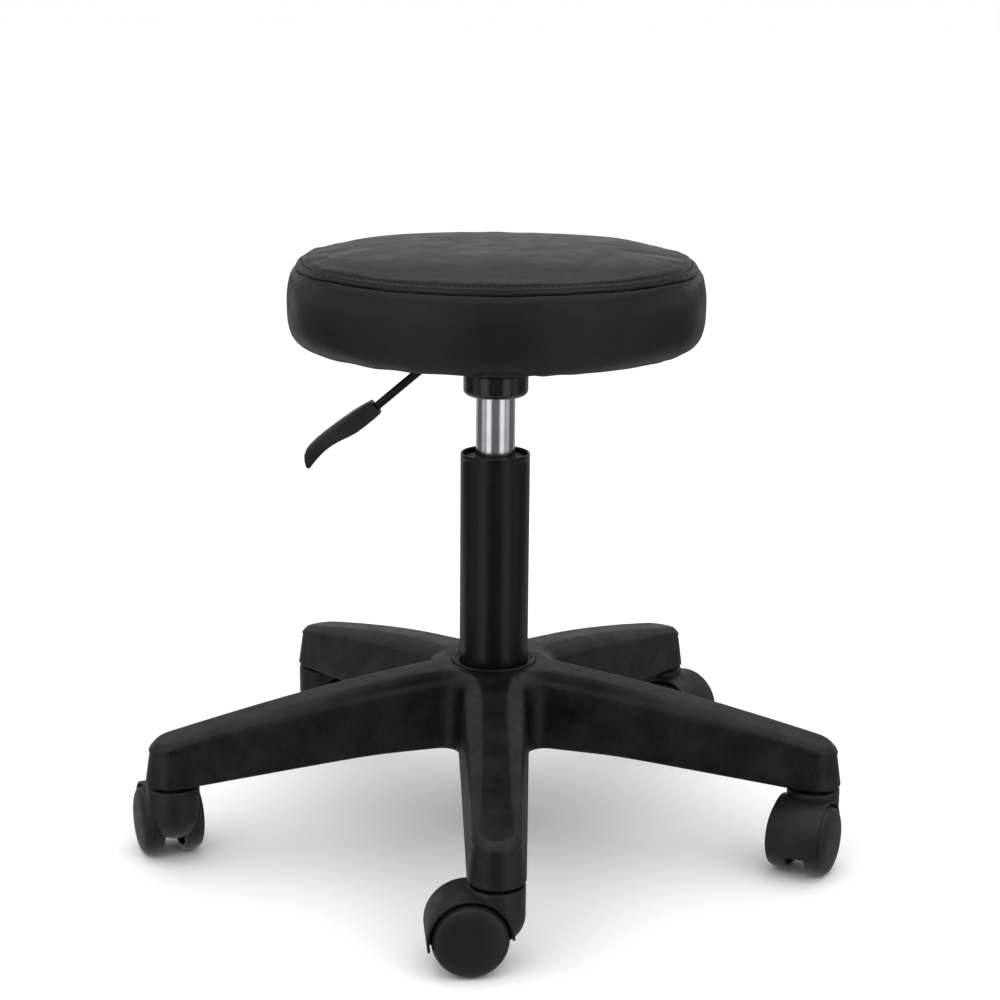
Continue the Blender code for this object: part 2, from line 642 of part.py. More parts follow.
def band_radius(z):
    """Outer radius of the band: a rounded square corner below its widest place, a slow lean inwards above."""
    if z < SEAT_WIDEST:
        down = min((SEAT_WIDEST - z) / (SEAT_WIDEST - SEAT_BOTTOM), 1.0)
        rounding = (1 - down ** SIDE_POWER) ** (1 / SIDE_POWER)
        return SEAT_FOOT_RADIUS + (SEAT_RADIUS - SEAT_FOOT_RADIUS) * rounding
    up = (z - SEAT_WIDEST) / (SEAM_HEIGHT - SEAT_WIDEST)
    return SEAT_RADIUS - (SEAT_RADIUS - SEAM_RADIUS) * up ** LEAN_POWER


def crown_height(r):
    """Height of the top panel: level in the middle, falling to the seam."""
    outwards = max(r - CROWN_FLAT, 0.0) / (SEAM_RADIUS - CROWN_FLAT)
    return SEAT_TOP - (SEAT_TOP - SEAM_HEIGHT) * outwards ** CROWN_POWER


def add_seat_board(seat, wood):
    """Plywood disc that the cushion is built on. Returns the height of its top."""
    bottom = PLATE_TOP + 0.0012
    top = bottom + BOARD_THICKNESS
    edge = 0.0010
    profile = [(0, top), (BOARD_RADIUS - edge, top), (BOARD_RADIUS, top - edge), (BOARD_RADIUS, bottom),
               (0, bottom)]
    board = place("seat_board", turned("seat_board", profile, 32), wood, seat)
    for x, y in bolt_places():
        cut(board, cylinder_mesh("nut_hole", 0.0047, bottom - 0.002, top + 0.002, 10, (x, y)))
    return top


def add_dust_cover(seat, cloth):
    """Thin cloth ring stapled under the board."""
    bottom = PLATE_TOP + GAP
    top, outer, inner = bottom + 0.0006, 0.1240, 0.0440
    profile = [(outer, top), (outer, bottom), (inner, bottom), (inner, top)]
    cover = place("dust_cover", turned("dust_cover", profile), cloth, seat)
    for x, y in bolt_places():
        cut(cover, cylinder_mesh("cloth_hole", 0.0046, bottom - 0.002, bottom + 0.003, 8, (x, y)))


def add_fasteners(seat, zinc, board_top):
    """Button-head bolts up through the plate, into tee nuts that lie on the board."""
    shank, head_radius, end = 0.0030, 0.0056, board_top - 0.0010
    head = PLATE_TOP - PLATE_THICKNESS - GAP
    bolt_profile = [(0, end), (shank, end), (shank, head), (head_radius, head),
                    (head_radius - 0.0008, head - 0.0030), (0, head - 0.0030)]
    bolt = turned("seat_bolt", bolt_profile, 10)
    flange, barrel, hole = 0.0090, 0.0042, shank + 0.0004
    flange_top, flange_foot, barrel_foot = board_top + 0.0014, board_top + GAP, board_top - 0.0090
    nut_profile = [(flange, flange_top), (flange, flange_foot), (barrel, flange_foot), (barrel, barrel_foot),
                   (hole, barrel_foot), (hole, flange_top)]
    nut = turned("tee_nut", nut_profile, 10)
    for i, (x, y) in enumerate(bolt_places(), 1):
        place(f"seat_bolt_{i}", bolt, zinc, seat, (x, y, 0))
        place(f"tee_nut_{i}", nut, zinc, seat, (x, y, 0))


def add_seat_foam(seat, foam, board_top):
    """Foam disc that wraps the edge of the board, inside the cover."""
    inset = COVER + 0.0014
    over_board, lip, hole = board_top + 0.0020, SEAT_BOTTOM + 0.0030, BOARD_RADIUS + GAP
    crown = [(r, crown_height(r) - inset) for r in (0.080, 0.112, 0.134)]
    side = [(band_radius(z) - inset, z) for z in (0.4130, 0.3900, 0.3740, 0.3655)]
    wrap = [(BOARD_RADIUS + 0.0020, lip), (hole, lip), (hole, over_board), (0, over_board)]
    profile = [(0, crown[0][1])] + crown + side + wrap
    place("seat_foam", turned("seat_foam", profile, 32), foam, seat)


def add_cover(seat, vinyl):
    """Top panel, raised seam and side band, each a thin shell over the foam."""
    seam_top = SEAM_HEIGHT + SEAM_THICKNESS + GAP
    edge = SEAM_RADIUS - 0.0010
    radii = (CROWN_FLAT, 0.080, 0.104, 0.122, 0.134)
    outer = [(r, crown_height(r)) for r in radii] + [(edge, seam_top + 0.0010), (edge, seam_top)]
    inner = [(edge - COVER, seam_top)] + [(r - 0.0004, crown_height(r) - COVER) for r in reversed(radii)]
    profile = [(0, SEAT_TOP)] + outer + inner + [(0, SEAT_TOP - COVER)]
    place("cover_top", turned("cover_top", profile, 32), vinyl, seat)

    seam = arc((SEAM_RADIUS, SEAM_HEIGHT), SEAM_THICKNESS, 90, -210, 5)
    place("cover_seam", turned("cover_seam", seam, 32), vinyl, seat)

    band_top = SEAM_HEIGHT - SEAM_THICKNESS - GAP
    heights = (band_top, 0.4030, 0.3900, 0.3760, 0.3680, 0.3632)
    inner_heights = (0.3650, 0.3740, 0.3900, 0.4030, band_top)
    outer = [(band_radius(z), z) for z in heights] + [(HEM_OUTER, SEAT_BOTTOM), (HEM_INNER, SEAT_BOTTOM)]
    hem_top = SEAT_BOTTOM + COVER - 0.0002
    inner = [(HEM_INNER, hem_top), (HEM_OUTER, hem_top)]
    inner += [(band_radius(z) - COVER - 0.0002, z) for z in inner_heights]
    place("cover_band", turned("cover_band", outer + inner, 32), vinyl, seat)


# ---------------------------------------------------------------- casters

def wheel_mesh():
    """A wheel along Z, its inner face at the bottom: domed outer face, blind bore from the inner face."""
    steps = 18
    tread = WHEEL_RADIUS / cos(pi / steps)
    bore, bore_end, edge = AXLE_RADIUS + GAP, WHEEL_OUTER - 0.0040, 0.0010
    dome = [(0, WHEEL_OUTER), (0.0150, WHEEL_OUTER - 0.0014), (0.0225, WHEEL_OUTER - 0.0040),
            (tread, WHEEL_EDGE)]
    inside = [(tread, WHEEL_INNER + edge), (tread - edge, WHEEL_INNER), (bore, WHEEL_INNER), (bore, bore_end),
              (0, bore_end)]
    wheel = turned("caster_wheel", dome + inside, steps)
    flat_to_floor = Matrix.Rotation(pi / 2 + pi / steps, 4, 'Z')
    wheel.transform(flat_to_floor)
    return wheel


def hood_mesh():
    """A round neck with a domed foot, and a guard over the wheels, which trail along +X."""
    dome = NECK_FOOT + NECK_DOME
    rounded = [(NECK_RADIUS * cos(angle), dome - NECK_DOME * sin(angle))
               for angle in (0, radians(33), radians(66))]
    neck = turned("neck", [(0, NECK_TOP), (NECK_RADIUS, NECK_TOP)] + rounded + [(0, NECK_FOOT)], 14)
    outline = arc((0, 0), HOOD_RADIUS, -HOOD_TAIL, 180, 10) + [(-0.0040, 0)]
    guard = outline_solid("guard", outline, 2 * HOOD_HALF_WIDTH)
    guard.transform(Matrix.Translation((TRAIL, 0, WHEEL_RADIUS)) @ Matrix.Rotation(pi / 2, 4, 'X'))
    axle_at = (TRAIL, WHEEL_RADIUS)
    boss_end = WEB_HALF_WIDTH + 0.0010
    boss = cylinder_mesh("boss", 0.0090, -boss_end, boss_end, 10, axle_at, lying=True)
    clear = HOOD_HALF_WIDTH + 0.0120
    pockets = [cylinder_mesh("wheel_pocket", HOOD_POCKET, low, high, 16, axle_at, lying=True)
               for low, high in ((WEB_HALF_WIDTH, clear), (-clear, -WEB_HALF_WIDTH))]
    axle_hole = cylinder_mesh("axle_hole", AXLE_RADIUS + GAP, -0.010, 0.010, 10, axle_at, lying=True)
    stem_hole = cylinder_mesh("stem_hole", STEM_RADIUS + 2 * GAP, STEM_FOOT - 2 * GAP, NECK_TOP + 0.004, 10)
    return joined("caster_hood", [neck, guard, boss], pockets + [axle_hole, stem_hole])


def add_caster(name, parent, direction, turn, shared, nylon, steel):
    """One caster, hung from the socket in an arm's end."""
    at = (STEM_CIRCLE * cos(direction), STEM_CIRCLE * sin(direction), 0.0)
    swivel = pivot(name + "_stem_axis", at, parent, radians(turn))
    axle = (TRAIL, 0, WHEEL_RADIUS)
    place(name + "_hood", shared["hood"], nylon, swivel)
    place(name + "_stem", shared["stem"], steel, swivel)
    place(name + "_axle", shared["axle"], steel, swivel, axle, (pi / 2, 0, 0))
    place(name + "_wheel_a", shared["wheel"], nylon, swivel, axle, (-pi / 2, 0, 0))
    place(name + "_wheel_b", shared["wheel"], nylon, swivel, axle, (pi / 2, 0, 0))


def add_casters(parent, nylon, steel):
    flange_foot, flange_radius = NECK_TOP + GAP, 0.0090
    flange_top = flange_foot + 0.0021
    stem = [(0, STEM_TOP), (STEM_RADIUS - 0.0007, STEM_TOP), (STEM_RADIUS, STEM_TOP - 0.0010),
            (STEM_RADIUS, flange_top), (flange_radius, flange_top), (flange_radius, flange_foot),
            (STEM_RADIUS, flange_foot), (STEM_RADIUS, STEM_FOOT), (0, STEM_FOOT)]
    half_axle = 0.0170
    axle = [(0, half_axle), (AXLE_RADIUS, half_axle), (AXLE_RADIUS, -half_axle), (0, -half_axle)]
    shared = {"hood": hood_mesh(), "wheel": wheel_mesh(), "stem": turned("caster_stem", stem, 10),
              "axle": turned("caster_axle", axle, 10)}
    for i, (name, turn) in enumerate(CASTER_TURNS.items()):
        direction = FIRST_ARM + 2 * pi * i / ARM_COUNT
        add_caster("caster_" + name, parent, direction, turn, shared, nylon, steel)


# ---------------------------------------------------------------- the whole stool

nylon = material("black_nylon", BLACK_NYLON, 0.55)
plastic = material("handle_plastic", BLACK_NYLON, 0.45)
gloss = material("gloss_black", BLACK_PAINT, 0.12)
paint = material("black_paint", BLACK_PAINT, 0.35, 0.3)
chrome = material("chrome", (0.75, 0.76, 0.77), 0.06, 1.0)
steel = material("steel", STEEL, 0.30, 1.0)
zinc = material("zinc", ZINC, 0.35, 1.0)
vinyl = material("black_vinyl", BLACK_VINYL, 0.35)
rubber = material("rubber", (0.02, 0.02, 0.02), 0.8)
acetal = material("bush_plastic", (0.05, 0.05, 0.055), 0.4)
wood = material("plywood", (0.55, 0.38, 0.22), 0.7)
foam = material("foam", (0.75, 0.72, 0.60), 0.9)
cloth = material("dust_cloth", (0.03, 0.03, 0.03), 0.95)

column = pivot("column_axis", (*COLUMN_AT, 0.0))
spindle = pivot("spindle_axis", (0, 0, 0), column)
seat = pivot("seat_axis", (0, 0, 0), spindle)
lever = pivot("lever_axis", (PIVOT_X, 0, LEVER_Z), seat)

add_base_star(column, nylon)
add_hub_ring(column, paint)
add_column_tube(column, paint)
add_guide_bush(column, acetal)
add_thrust_bearing(column, spindle, steel, rubber)
add_piston(spindle, steel, acetal)
add_gas_cylinder(seat, chrome)
add_rod_seal(seat, rubber)
add_release_button(seat, steel)
add_seat_plate(seat, paint)
add_taper_cup(seat, gloss)
add_lever_bracket(seat, steel)
add_lever(lever, paint, plastic)
board_top = add_seat_board(seat, wood)
add_dust_cover(seat, cloth)
add_fasteners(seat, zinc, board_top)
add_seat_foam(seat, foam, board_top)
add_cover(seat, vinyl)
add_casters(column, nylon, steel)
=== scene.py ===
"""Looks of the adjustable swivel stool: a sewn vinyl cushion, a moulded base and casters, a chromed gas lift.

Metres, +Z up. Meshes are made in the stool's own frame, with the column's axis at x = y = 0, and placed on
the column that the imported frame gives. Wheels and hoods are made once and placed where the frame says.
"""

import json
from math import atan2, cos, hypot, pi, radians, sin, sqrt, tan

import bmesh
import bpy
import numpy as np
from mathutils import Matrix, Vector
from mathutils.bvhtree import BVHTree


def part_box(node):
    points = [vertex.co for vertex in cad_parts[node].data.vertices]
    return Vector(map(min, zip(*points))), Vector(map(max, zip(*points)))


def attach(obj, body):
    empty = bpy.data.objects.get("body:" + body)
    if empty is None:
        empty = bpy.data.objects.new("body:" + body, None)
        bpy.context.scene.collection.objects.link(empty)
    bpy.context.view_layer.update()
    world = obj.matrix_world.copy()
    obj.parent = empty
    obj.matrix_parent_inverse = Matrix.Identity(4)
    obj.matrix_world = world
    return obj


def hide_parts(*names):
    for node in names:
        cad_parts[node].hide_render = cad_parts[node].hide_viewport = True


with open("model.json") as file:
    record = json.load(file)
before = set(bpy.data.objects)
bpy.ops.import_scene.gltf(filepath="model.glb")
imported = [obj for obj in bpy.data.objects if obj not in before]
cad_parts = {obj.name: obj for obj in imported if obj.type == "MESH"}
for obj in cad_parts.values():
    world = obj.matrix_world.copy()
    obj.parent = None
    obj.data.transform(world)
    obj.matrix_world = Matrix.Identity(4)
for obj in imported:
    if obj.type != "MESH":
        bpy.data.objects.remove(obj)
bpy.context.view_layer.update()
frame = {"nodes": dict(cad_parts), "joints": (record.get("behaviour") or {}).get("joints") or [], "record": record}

# ---------------------------------------------------------------- sizes and places, from the frame


def low(node):
    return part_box(node)[0]


def high(node):
    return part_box(node)[1]


def heights(node):
    return low(node).z, high(node).z


def half_width(node):
    return (high(node).x - low(node).x) / 2


def joint_place(name):
    return next(Vector(j["pos_m"]) for j in frame["joints"] if j["name"] == name)


COLUMN = Vector(((low("column_tube").x + high("column_tube").x) / 2,
                 (low("column_tube").y + high("column_tube").y) / 2, 0.0))
CASTERS = ("front", "right", "back_right", "back_left", "left")
STEMS = {name: joint_place(f"caster_{name}_swivel") - COLUMN for name in CASTERS}
STEM_CIRCLE = hypot(STEMS["front"].x, STEMS["front"].y)
FIRST_ARM = atan2(STEMS["front"].y, STEMS["front"].x)
ARM_STEP = 2 * pi / len(CASTERS)

# five-arm base
HUB_TOP = high("base_star").z
SOCKET_BOTTOM = low("base_star").z + 0.002
ARM_END_RADIUS = 0.0192
ARM_FLARE = 0.033                  # growth of the half width per metre towards the hub
ARM_BOTTOM = 0.071
ARM_LEVEL_TO = 0.1
TIP_BOTTOM = low("base_star").z
ARM_DROP = 0.0392
ARM_DROP_POWER = 1.45
VALLEY_FILLET = 0.012              # radius of the corner between two arms, seen from above
WALL = 0.0032
RIBS = (0.062, 0.098, 0.162, 0.222)
SOCKET_RADIUS = 0.0322
TAPER_TOP = 0.122                  # where the column's tapered foot begins
RING_RADIUS = half_width("hub_ring")
COLUMN_RADIUS = half_width("column_tube")

# seat
SEAT_RADIUS = half_width("cover_band")
SEAT_BOTTOM = low("cover_band").z
SEAT_TOP = high("cover_top").z
SEAM_THICKNESS = (high("cover_seam").z - low("cover_seam").z) / 2
SEAM_RADIUS = half_width("cover_seam") - SEAM_THICKNESS
SEAM_HEIGHT = (high("cover_seam").z + low("cover_seam").z) / 2
SEAT_WIDEST = 0.3908
SEAT_FOOT_RADIUS = 0.122
SIDE_POWER = 3.26
LEAN_POWER = 2.66
CROWN_POWER = 3.2                  # how flat the top panel is in its middle
CROWN_ROUNDING = 2.0               # how full its edge is: 2 rolls over like a quarter circle
HEM_INNER = 0.112
STITCH_LINE = -0.0056              # place of the groove with the stitches, measured from the seam

# casters
WHEEL_RADIUS = joint_place("caster_front_spin_a").z
TRAIL = (joint_place("caster_front_spin_a") - COLUMN - STEMS["front"]).to_2d().length
WHEEL_INNER = 0.0076
WHEEL_EDGE = 0.0176                # where the tread ends and the domed face begins, from the caster's middle
WHEEL_OUTER = 0.023
HOOD_RADIUS = 0.028
HOOD_HALF_WIDTH = 0.018
HOOD_POCKET = 0.0262
HOOD_TAIL = 14.0                   # degrees that the guard reaches below the axle behind the wheels
WEB_HALF_WIDTH = 0.0068
NECK_RADIUS = 0.0186
NECK_TOP = high("caster_front_hood").z
NECK_FOOT = 0.0168
NECK_DOME = 0.0188                 # height that the neck's domed foot takes up below its straight part

# ---------------------------------------------------------------- mesh tools


def in_scene(name, data):
    """A new object for some data, linked to the scene."""
    made = bpy.data.objects.new(name, data)
    bpy.context.scene.collection.objects.link(made)
    return made


def finished(mesh, angle=40.0):
    """Welds a mesh, turns its faces outwards and shades it smooth up to an angle."""
    made = bmesh.new()
    made.from_mesh(mesh)
    bmesh.ops.remove_doubles(made, verts=made.verts, dist=0.00001)
    bmesh.ops.recalc_face_normals(made, faces=made.faces)
    made.to_mesh(mesh)
    made.free()
    mesh.shade_smooth()
    mesh.set_sharp_from_angle(angle=radians(angle))
    return mesh


def grid_mesh(name, rows, wrap=False, angle=40.0, close_ends=False):
    """Quads between rows of equally many points. With wrap, each row is a closed ring."""
    rows = np.asarray(rows, float)
    count, across = rows.shape[:2]
    faces = []
    for i in range(count - 1):
        for j in range(across if wrap else across - 1):
            k = (j + 1) % across
            faces.append((i * across + j, i * across + k, (i + 1) * across + k, (i + 1) * across + j))
    if close_ends:
        faces.append(tuple(reversed(range(across))))
        faces.append(tuple((count - 1) * across + j for j in range(across)))
    mesh = bpy.data.meshes.new(name)
    mesh.from_pydata(rows.reshape(-1, 3).tolist(), [], faces)
    return finished(mesh, angle)


def merged(name, meshes, angle=40.0):
    """Several meshes as one, welded where they meet."""
    made = bmesh.new()
    for mesh in meshes:
        made.from_mesh(mesh)
    mesh = bpy.data.meshes.new(name)
    made.to_mesh(mesh)
    made.free()
    return finished(mesh, angle)


def rounded(points, radius, steps=4, closed=False):
    """A row of 2D points with its corners rounded by arcs of up to this radius."""
    result = []
    count = len(points)
    for i, corner in enumerate(points):
        if not closed and i in (0, count - 1):
            result.append(tuple(corner))
            continue
        here = Vector(corner)
        before, after = Vector(points[i - 1]) - here, Vector(points[(i + 1) % count]) - here
        half = before.angle(after, pi) / 2
        reach = min(radius / tan(half), before.length * 0.48, after.length * 0.48)
        if half >= radians(85) or reach < 0.00002:
            result.append(tuple(corner))
            continue
        before.normalize()
        after.normalize()
        size = reach * tan(half)
        centre = here + (before + after).normalized() * (size / sin(half))
        first, last = here + before * reach - centre, here + after * reach - centre
        sweep = first.angle_signed(last)
        for k in range(steps + 1):
            result.append(tuple(centre + Matrix.Rotation(-sweep * k / steps, 2) @ first))
    return result


def turned(name, profile, steps=96, radius=0.0006, angle=40.0):
    """A solid of revolution about Z: a ring, unless its profile starts and ends on the axis."""
    is_ring = all(r > 0 for r, z in profile)
    points = rounded(profile, radius, closed=is_ring)
    if is_ring:
        points = points + points[:1]
    angles = 2 * pi * np.arange(steps) / steps
    rows = [[(r * cos(a), r * sin(a), z) for a in angles] for r, z in points]
    return grid_mesh(name, rows, wrap=True, angle=angle)


def arc(centre, radius, start, end, steps):
    """Points on a circle from one angle to another, in degrees."""
    angles = [radians(start + (end - start) * i / steps) for i in range(steps + 1)]
    return [(centre[0] + radius * cos(a), centre[1] + radius * sin(a)) for a in angles]


def extruded(name, outline, low_z, high_z):
    """A closed outline in XY, anticlockwise, given height."""
    count = len(outline)
    faces = [(i, (i + 1) % count, count + (i + 1) % count, count + i) for i in range(count)]
    faces += [tuple(reversed(range(count))), tuple(range(count, 2 * count))]
    mesh = bpy.data.meshes.new(name)
    mesh.from_pydata([(x, y, z) for z in (low_z, high_z) for x, y in outline], [], faces)
    return mesh


def evaluated(piece, name):
    bpy.context.view_layer.update()
    source = piece.evaluated_get(bpy.context.evaluated_depsgraph_get())
    mesh = bpy.data.meshes.new_from_object(source)
    mesh.name = name
    return mesh


def modify(piece, kind, **settings):
    """Adds a modifier and sets it up."""
    modifier = piece.modifiers.new(kind.lower(), kind)
    for name, value in settings.items():
        setattr(modifier, name, value)


def combined(name, first, others, angle, bevel=0.0, bevel_angle=40.0, segments=2):
    """The first mesh with others added ('UNION') or taken away ('DIFFERENCE'), and its edges rounded."""
    pieces = [in_scene(name + "_part", mesh) for mesh in [first] + [mesh for how, mesh in others]]
    for piece, (how, mesh) in zip(pieces[1:], others):
        modify(pieces[0], 'BOOLEAN', operation=how, solver='EXACT', object=piece)
    if bevel:
        modify(pieces[0], 'WELD', merge_threshold=0.00003)
        modify(pieces[0], 'BEVEL', width=bevel, segments=segments, limit_method='ANGLE',
               angle_limit=radians(bevel_angle))
    mesh = evaluated(pieces[0], name)
    for piece in pieces:
        bpy.data.objects.remove(piece)
    return finished(mesh, angle)


def tube(name, points, radius, sides=20, angle=50.0):
    """A round rod with closed ends along a row of points."""
    points = [Vector(p) for p in points]
    rows = []
    for i, here in enumerate(points):
        ahead = points[min(i + 1, len(points) - 1)] - points[max(i - 1, 0)]
        turn = ahead.to_track_quat('Z', 'Y')
        rows.append([here + turn @ Vector((radius * cos(a), radius * sin(a), 0)) for a in
                     2 * pi * np.arange(sides) / sides])
    return grid_mesh(name, [[tuple(p) for p in row] for row in rows], wrap=True, angle=angle, close_ends=True)


def add(name, mesh, slot, body, replaced=(), at=COLUMN, turn=None, look=None):
    """A piece of the object: placed, given its material, and riding on a body."""
    mesh.materials.clear()
    mesh.materials.append(LOOKS[look or slot])
    piece = in_scene(name, mesh)
    piece.matrix_world = Matrix.Translation(at) @ (turn or Matrix.Identity(4))
    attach(piece, body)
    if replaced:
        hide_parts(*replaced)
    return piece


def add_turned(name, node, profile, slot, body, steps=128, radius=0.0004, look=None):
    """A solid of revolution about the column's axis, in place of one node of the frame."""
    add(name, turned(name, profile, steps, radius), slot, body, [node], look=look)


# ---------------------------------------------------------------- materials


def feed(tree, node, inputs):
    """Sets a node's inputs to values, or links them to the outputs given for them."""
    for name, value in inputs.items():
        if isinstance(value, bpy.types.NodeSocket):
            tree.links.new(value, node.inputs[name])
        else:
            node.inputs[name].default_value = value
    return node


def new_node(tree, kind, inputs):
    return feed(tree, tree.nodes.new("ShaderNode" + kind), inputs)


def ramp(tree, value, stops):
    """Maps a value to a colour between stops of (position, colour)."""
    node = new_node(tree, "ValToRGB", {"Fac": value})
    elements = node.color_ramp.elements
    while len(elements) < len(stops):
        elements.new(0.5)
    for element, (position, colour) in zip(elements, stops):
        element.position = position
        element.color = (*colour, 1.0)
    return node.outputs["Color"]


def multiply_add(tree, value, factor, base):
    node = new_node(tree, "Math", {0: value, 1: factor, 2: base})
    node.operation = 'MULTIPLY_ADD'
    return node.outputs[0]


def texture(tree, scale, detail=None, stretch=None, flecks=None):
    """The value of a procedural texture in the piece's own metres: noise, or cells if no detail is given.

    Stretch is a further scale for each axis. Flecks are (share, texture) of a second one to add.
    """
    place = new_node(tree, "TexCoord", {}).outputs["Object"]
    if stretch:
        place = new_node(tree, "Mapping", {"Vector": place, "Scale": stretch}).outputs["Vector"]
    if not detail:
        return new_node(tree, "TexVoronoi", {"Vector": place, "Scale": scale}).outputs["Distance"]
    noise = new_node(tree, "TexNoise", {"Vector": place, "Scale": scale, "Detail": detail}).outputs["Fac"]
    if not flecks:
        return noise
    share, finer = flecks
    return multiply_add(tree, texture(tree, *finer), share, noise)


def new_look(name, tint, gloss, reliefs=(), specular=0.5, metallic=0.0):
    """A Principled material whose colour, roughness and relief come from procedural textures.

    Tint is (texture, darkest, lightest), with the texture's values for these if not 0.3 and 0.7. Gloss is
    (texture, least, most) of the roughness. A relief is (texture, depth in metres, strength).
    """
    material = bpy.data.materials.new(name)
    material.use_nodes = True
    tree = material.node_tree
    inputs = {"Metallic": metallic, "Specular IOR Level": specular}

    pattern, dark, light, *span = tint
    start, end = span or (0.3, 0.7)
    inputs["Base Color"] = ramp(tree, texture(tree, *pattern), [(start, dark), (end, light)])

    pattern, least, most = gloss
    spread = {"Value": texture(tree, *pattern), "From Min": 0.3, "From Max": 0.7,
              "To Min": least, "To Max": most}
    inputs["Roughness"] = new_node(tree, "MapRange", spread).outputs["Result"]

    for pattern, depth, strength in reliefs:
        relief = {"Height": texture(tree, *pattern), "Distance": depth, "Strength": strength}
        if "Normal" in inputs:
            relief["Normal"] = inputs["Normal"]
        inputs["Normal"] = new_node(tree, "Bump", relief).outputs["Normal"]
    feed(tree, tree.nodes["Principled BSDF"], inputs)
    return material


FLECKS = (1, 5, (560, 560, 240))
RINGS = (1, 2, (60, 60, 5200))         # from grinding, round the chromed tube
MARKS = (1, 3, (300, 300, 3000))       # of the tool, on turned and pressed steel
GRAIN = (1, 5, (14, 160, 600))         # plies along the edge, long grain on the faces
FIBRES = (1, 6, (900, 340, 600))
TWIST = (1, 2, (2400, 2400, 900))

LOOKS = {row[0]: new_look(*row) for row in (
    # satin, with a fine leather grain and faint creasing
    ("black_vinyl", ((14, 4), (0.005, 0.005, 0.0058), (0.0084, 0.0084, 0.0095)), ((55, 5), 0.36, 0.48),
     [((26, 3, (1, 1, 2.2)), 0.0006, 0.35), ((900,), 0.00012, 0.55), ((2600, 2), 0.00004, 0.6)], 0.18),
    # matte: spark-eroded texture, and a faint mottling from the moulding
    ("black_nylon",
     ((38, 6, None, (0.45, FLECKS)), (0.001, 0.001, 0.0013), (0.0076, 0.0076, 0.0085), 0.6, 0.86),
     ((90, 6), 0.38, 0.52), [((160, 3), 0.0001, 0.35), ((1500, 3), 0.00008, 0.55)], 0.22),
    # smoother, for the casters' hoods and wheels
    ("caster_nylon", ((60, 4), (0.0058, 0.0058, 0.0063), (0.0098, 0.0098, 0.0104)), ((140, 5), 0.4, 0.54),
     [((1800, 3), 0.00006, 0.5)], 0.24),
    ("handle_plastic", ((70, 4), (0.004, 0.004, 0.0046), (0.014, 0.014, 0.015)), ((160, 4), 0.38, 0.5),
     [((1400,), 0.00005, 0.5)], 0.32),
    # semi-gloss powder coat with a little orange peel
    ("black_paint", ((20, 3), (0.0024, 0.0024, 0.0027), (0.0042, 0.0042, 0.0045)), ((80, 5), 0.27, 0.37),
     [((420, 2), 0.00006, 0.35)], 0.22),
    ("gloss_black", ((30, 3), (0.006, 0.006, 0.0065), (0.009, 0.009, 0.0095)), ((120, 5), 0.14, 0.24),
     [((160, 2), 0.00005, 0.25)], 0.4),
    ("chrome", ((45, 5), (0.6, 0.605, 0.63), (0.72, 0.725, 0.75)), (RINGS, 0.16, 0.24),
     [(RINGS, 0.0000025, 0.4)], 0.5, 1.0),
    ("steel", ((90, 4), (0.4, 0.4, 0.41), (0.56, 0.56, 0.57)), (MARKS, 0.22, 0.36),
     [(MARKS, 0.00001, 0.5)], 0.5, 1.0),
    ("zinc", ((90, 4), (0.46, 0.47, 0.44), (0.62, 0.63, 0.6)), (MARKS, 0.28, 0.42),
     [(MARKS, 0.00001, 0.5)], 0.5, 1.0),
    ("rubber", ((200, 4), (0.014, 0.014, 0.014), (0.026, 0.026, 0.025)), ((300, 4), 0.7, 0.88),
     [((1600, 3), 0.00008, 0.5)]),
    ("bush_plastic", ((120, 3), (0.065, 0.065, 0.068), (0.12, 0.12, 0.125)), ((200, 4), 0.34, 0.46),
     [((900, 2), 0.00005, 0.4)]),
    ("plywood", (GRAIN, (0.36, 0.23, 0.12), (0.58, 0.42, 0.25)), ((80, 4), 0.62, 0.8),
     [(GRAIN, 0.0002, 0.5)]),
    ("foam", ((160, 4), (0.58, 0.54, 0.42), (0.72, 0.68, 0.55)), ((300, 3), 0.85, 0.95),
     [((700,), 0.0006, 0.8)]),
    ("dust_cloth", (FIBRES, (0.012, 0.012, 0.012), (0.03, 0.03, 0.03)), ((200, 4), 0.8, 0.95),
     [(FIBRES, 0.00015, 0.7)]),
    ("black_thread", (TWIST, (0.01, 0.01, 0.011), (0.03, 0.03, 0.032)), ((600, 2), 0.5, 0.65),
     [(TWIST, 0.0001, 0.6)]),
)}

# ---------------------------------------------------------------- camera, floor and light


def add_camera():
    """Stands in front of the stool, a little above the seat, and looks down at it."""
    distance, aside, height = 1.45036, 0.00368, 0.6075
    pitch, roll = radians(13.97), 0.009
    focal_share = 2.06974                # focal length as a share of the picture's width
    data = bpy.data.cameras.new("camera")
    data.sensor_width = 36.0
    data.lens = focal_share * data.sensor_width
    camera = in_scene("camera", data)
    at = Matrix.Translation(COLUMN + Vector((aside, -distance, height)))
    camera.matrix_world = at @ Matrix.Rotation(pi / 2 - pitch, 4, 'X') @ Matrix.Rotation(roll, 4, 'Z')
    bpy.context.scene.camera = camera


def add_floor():
    """A plain pale floor that fills the view. Reflections look past it, as if the lights reached lower."""
    mesh = bpy.data.meshes.new("floor")
    reach = 30.0
    corners = [(-reach, -reach, 0), (reach, -reach, 0), (reach, reach, 0), (-reach, reach, 0)]
    mesh.from_pydata(corners, [], [(0, 1, 2, 3)])
    mesh.materials.append(new_look("floor", ((0.7, 2), (0.9, 0.9, 0.9), (0.92, 0.92, 0.92)),
                                   ((3, 2), 0.85, 0.9), specular=0.1))
    floor = in_scene("floor", mesh)
    floor.visible_glossy = False


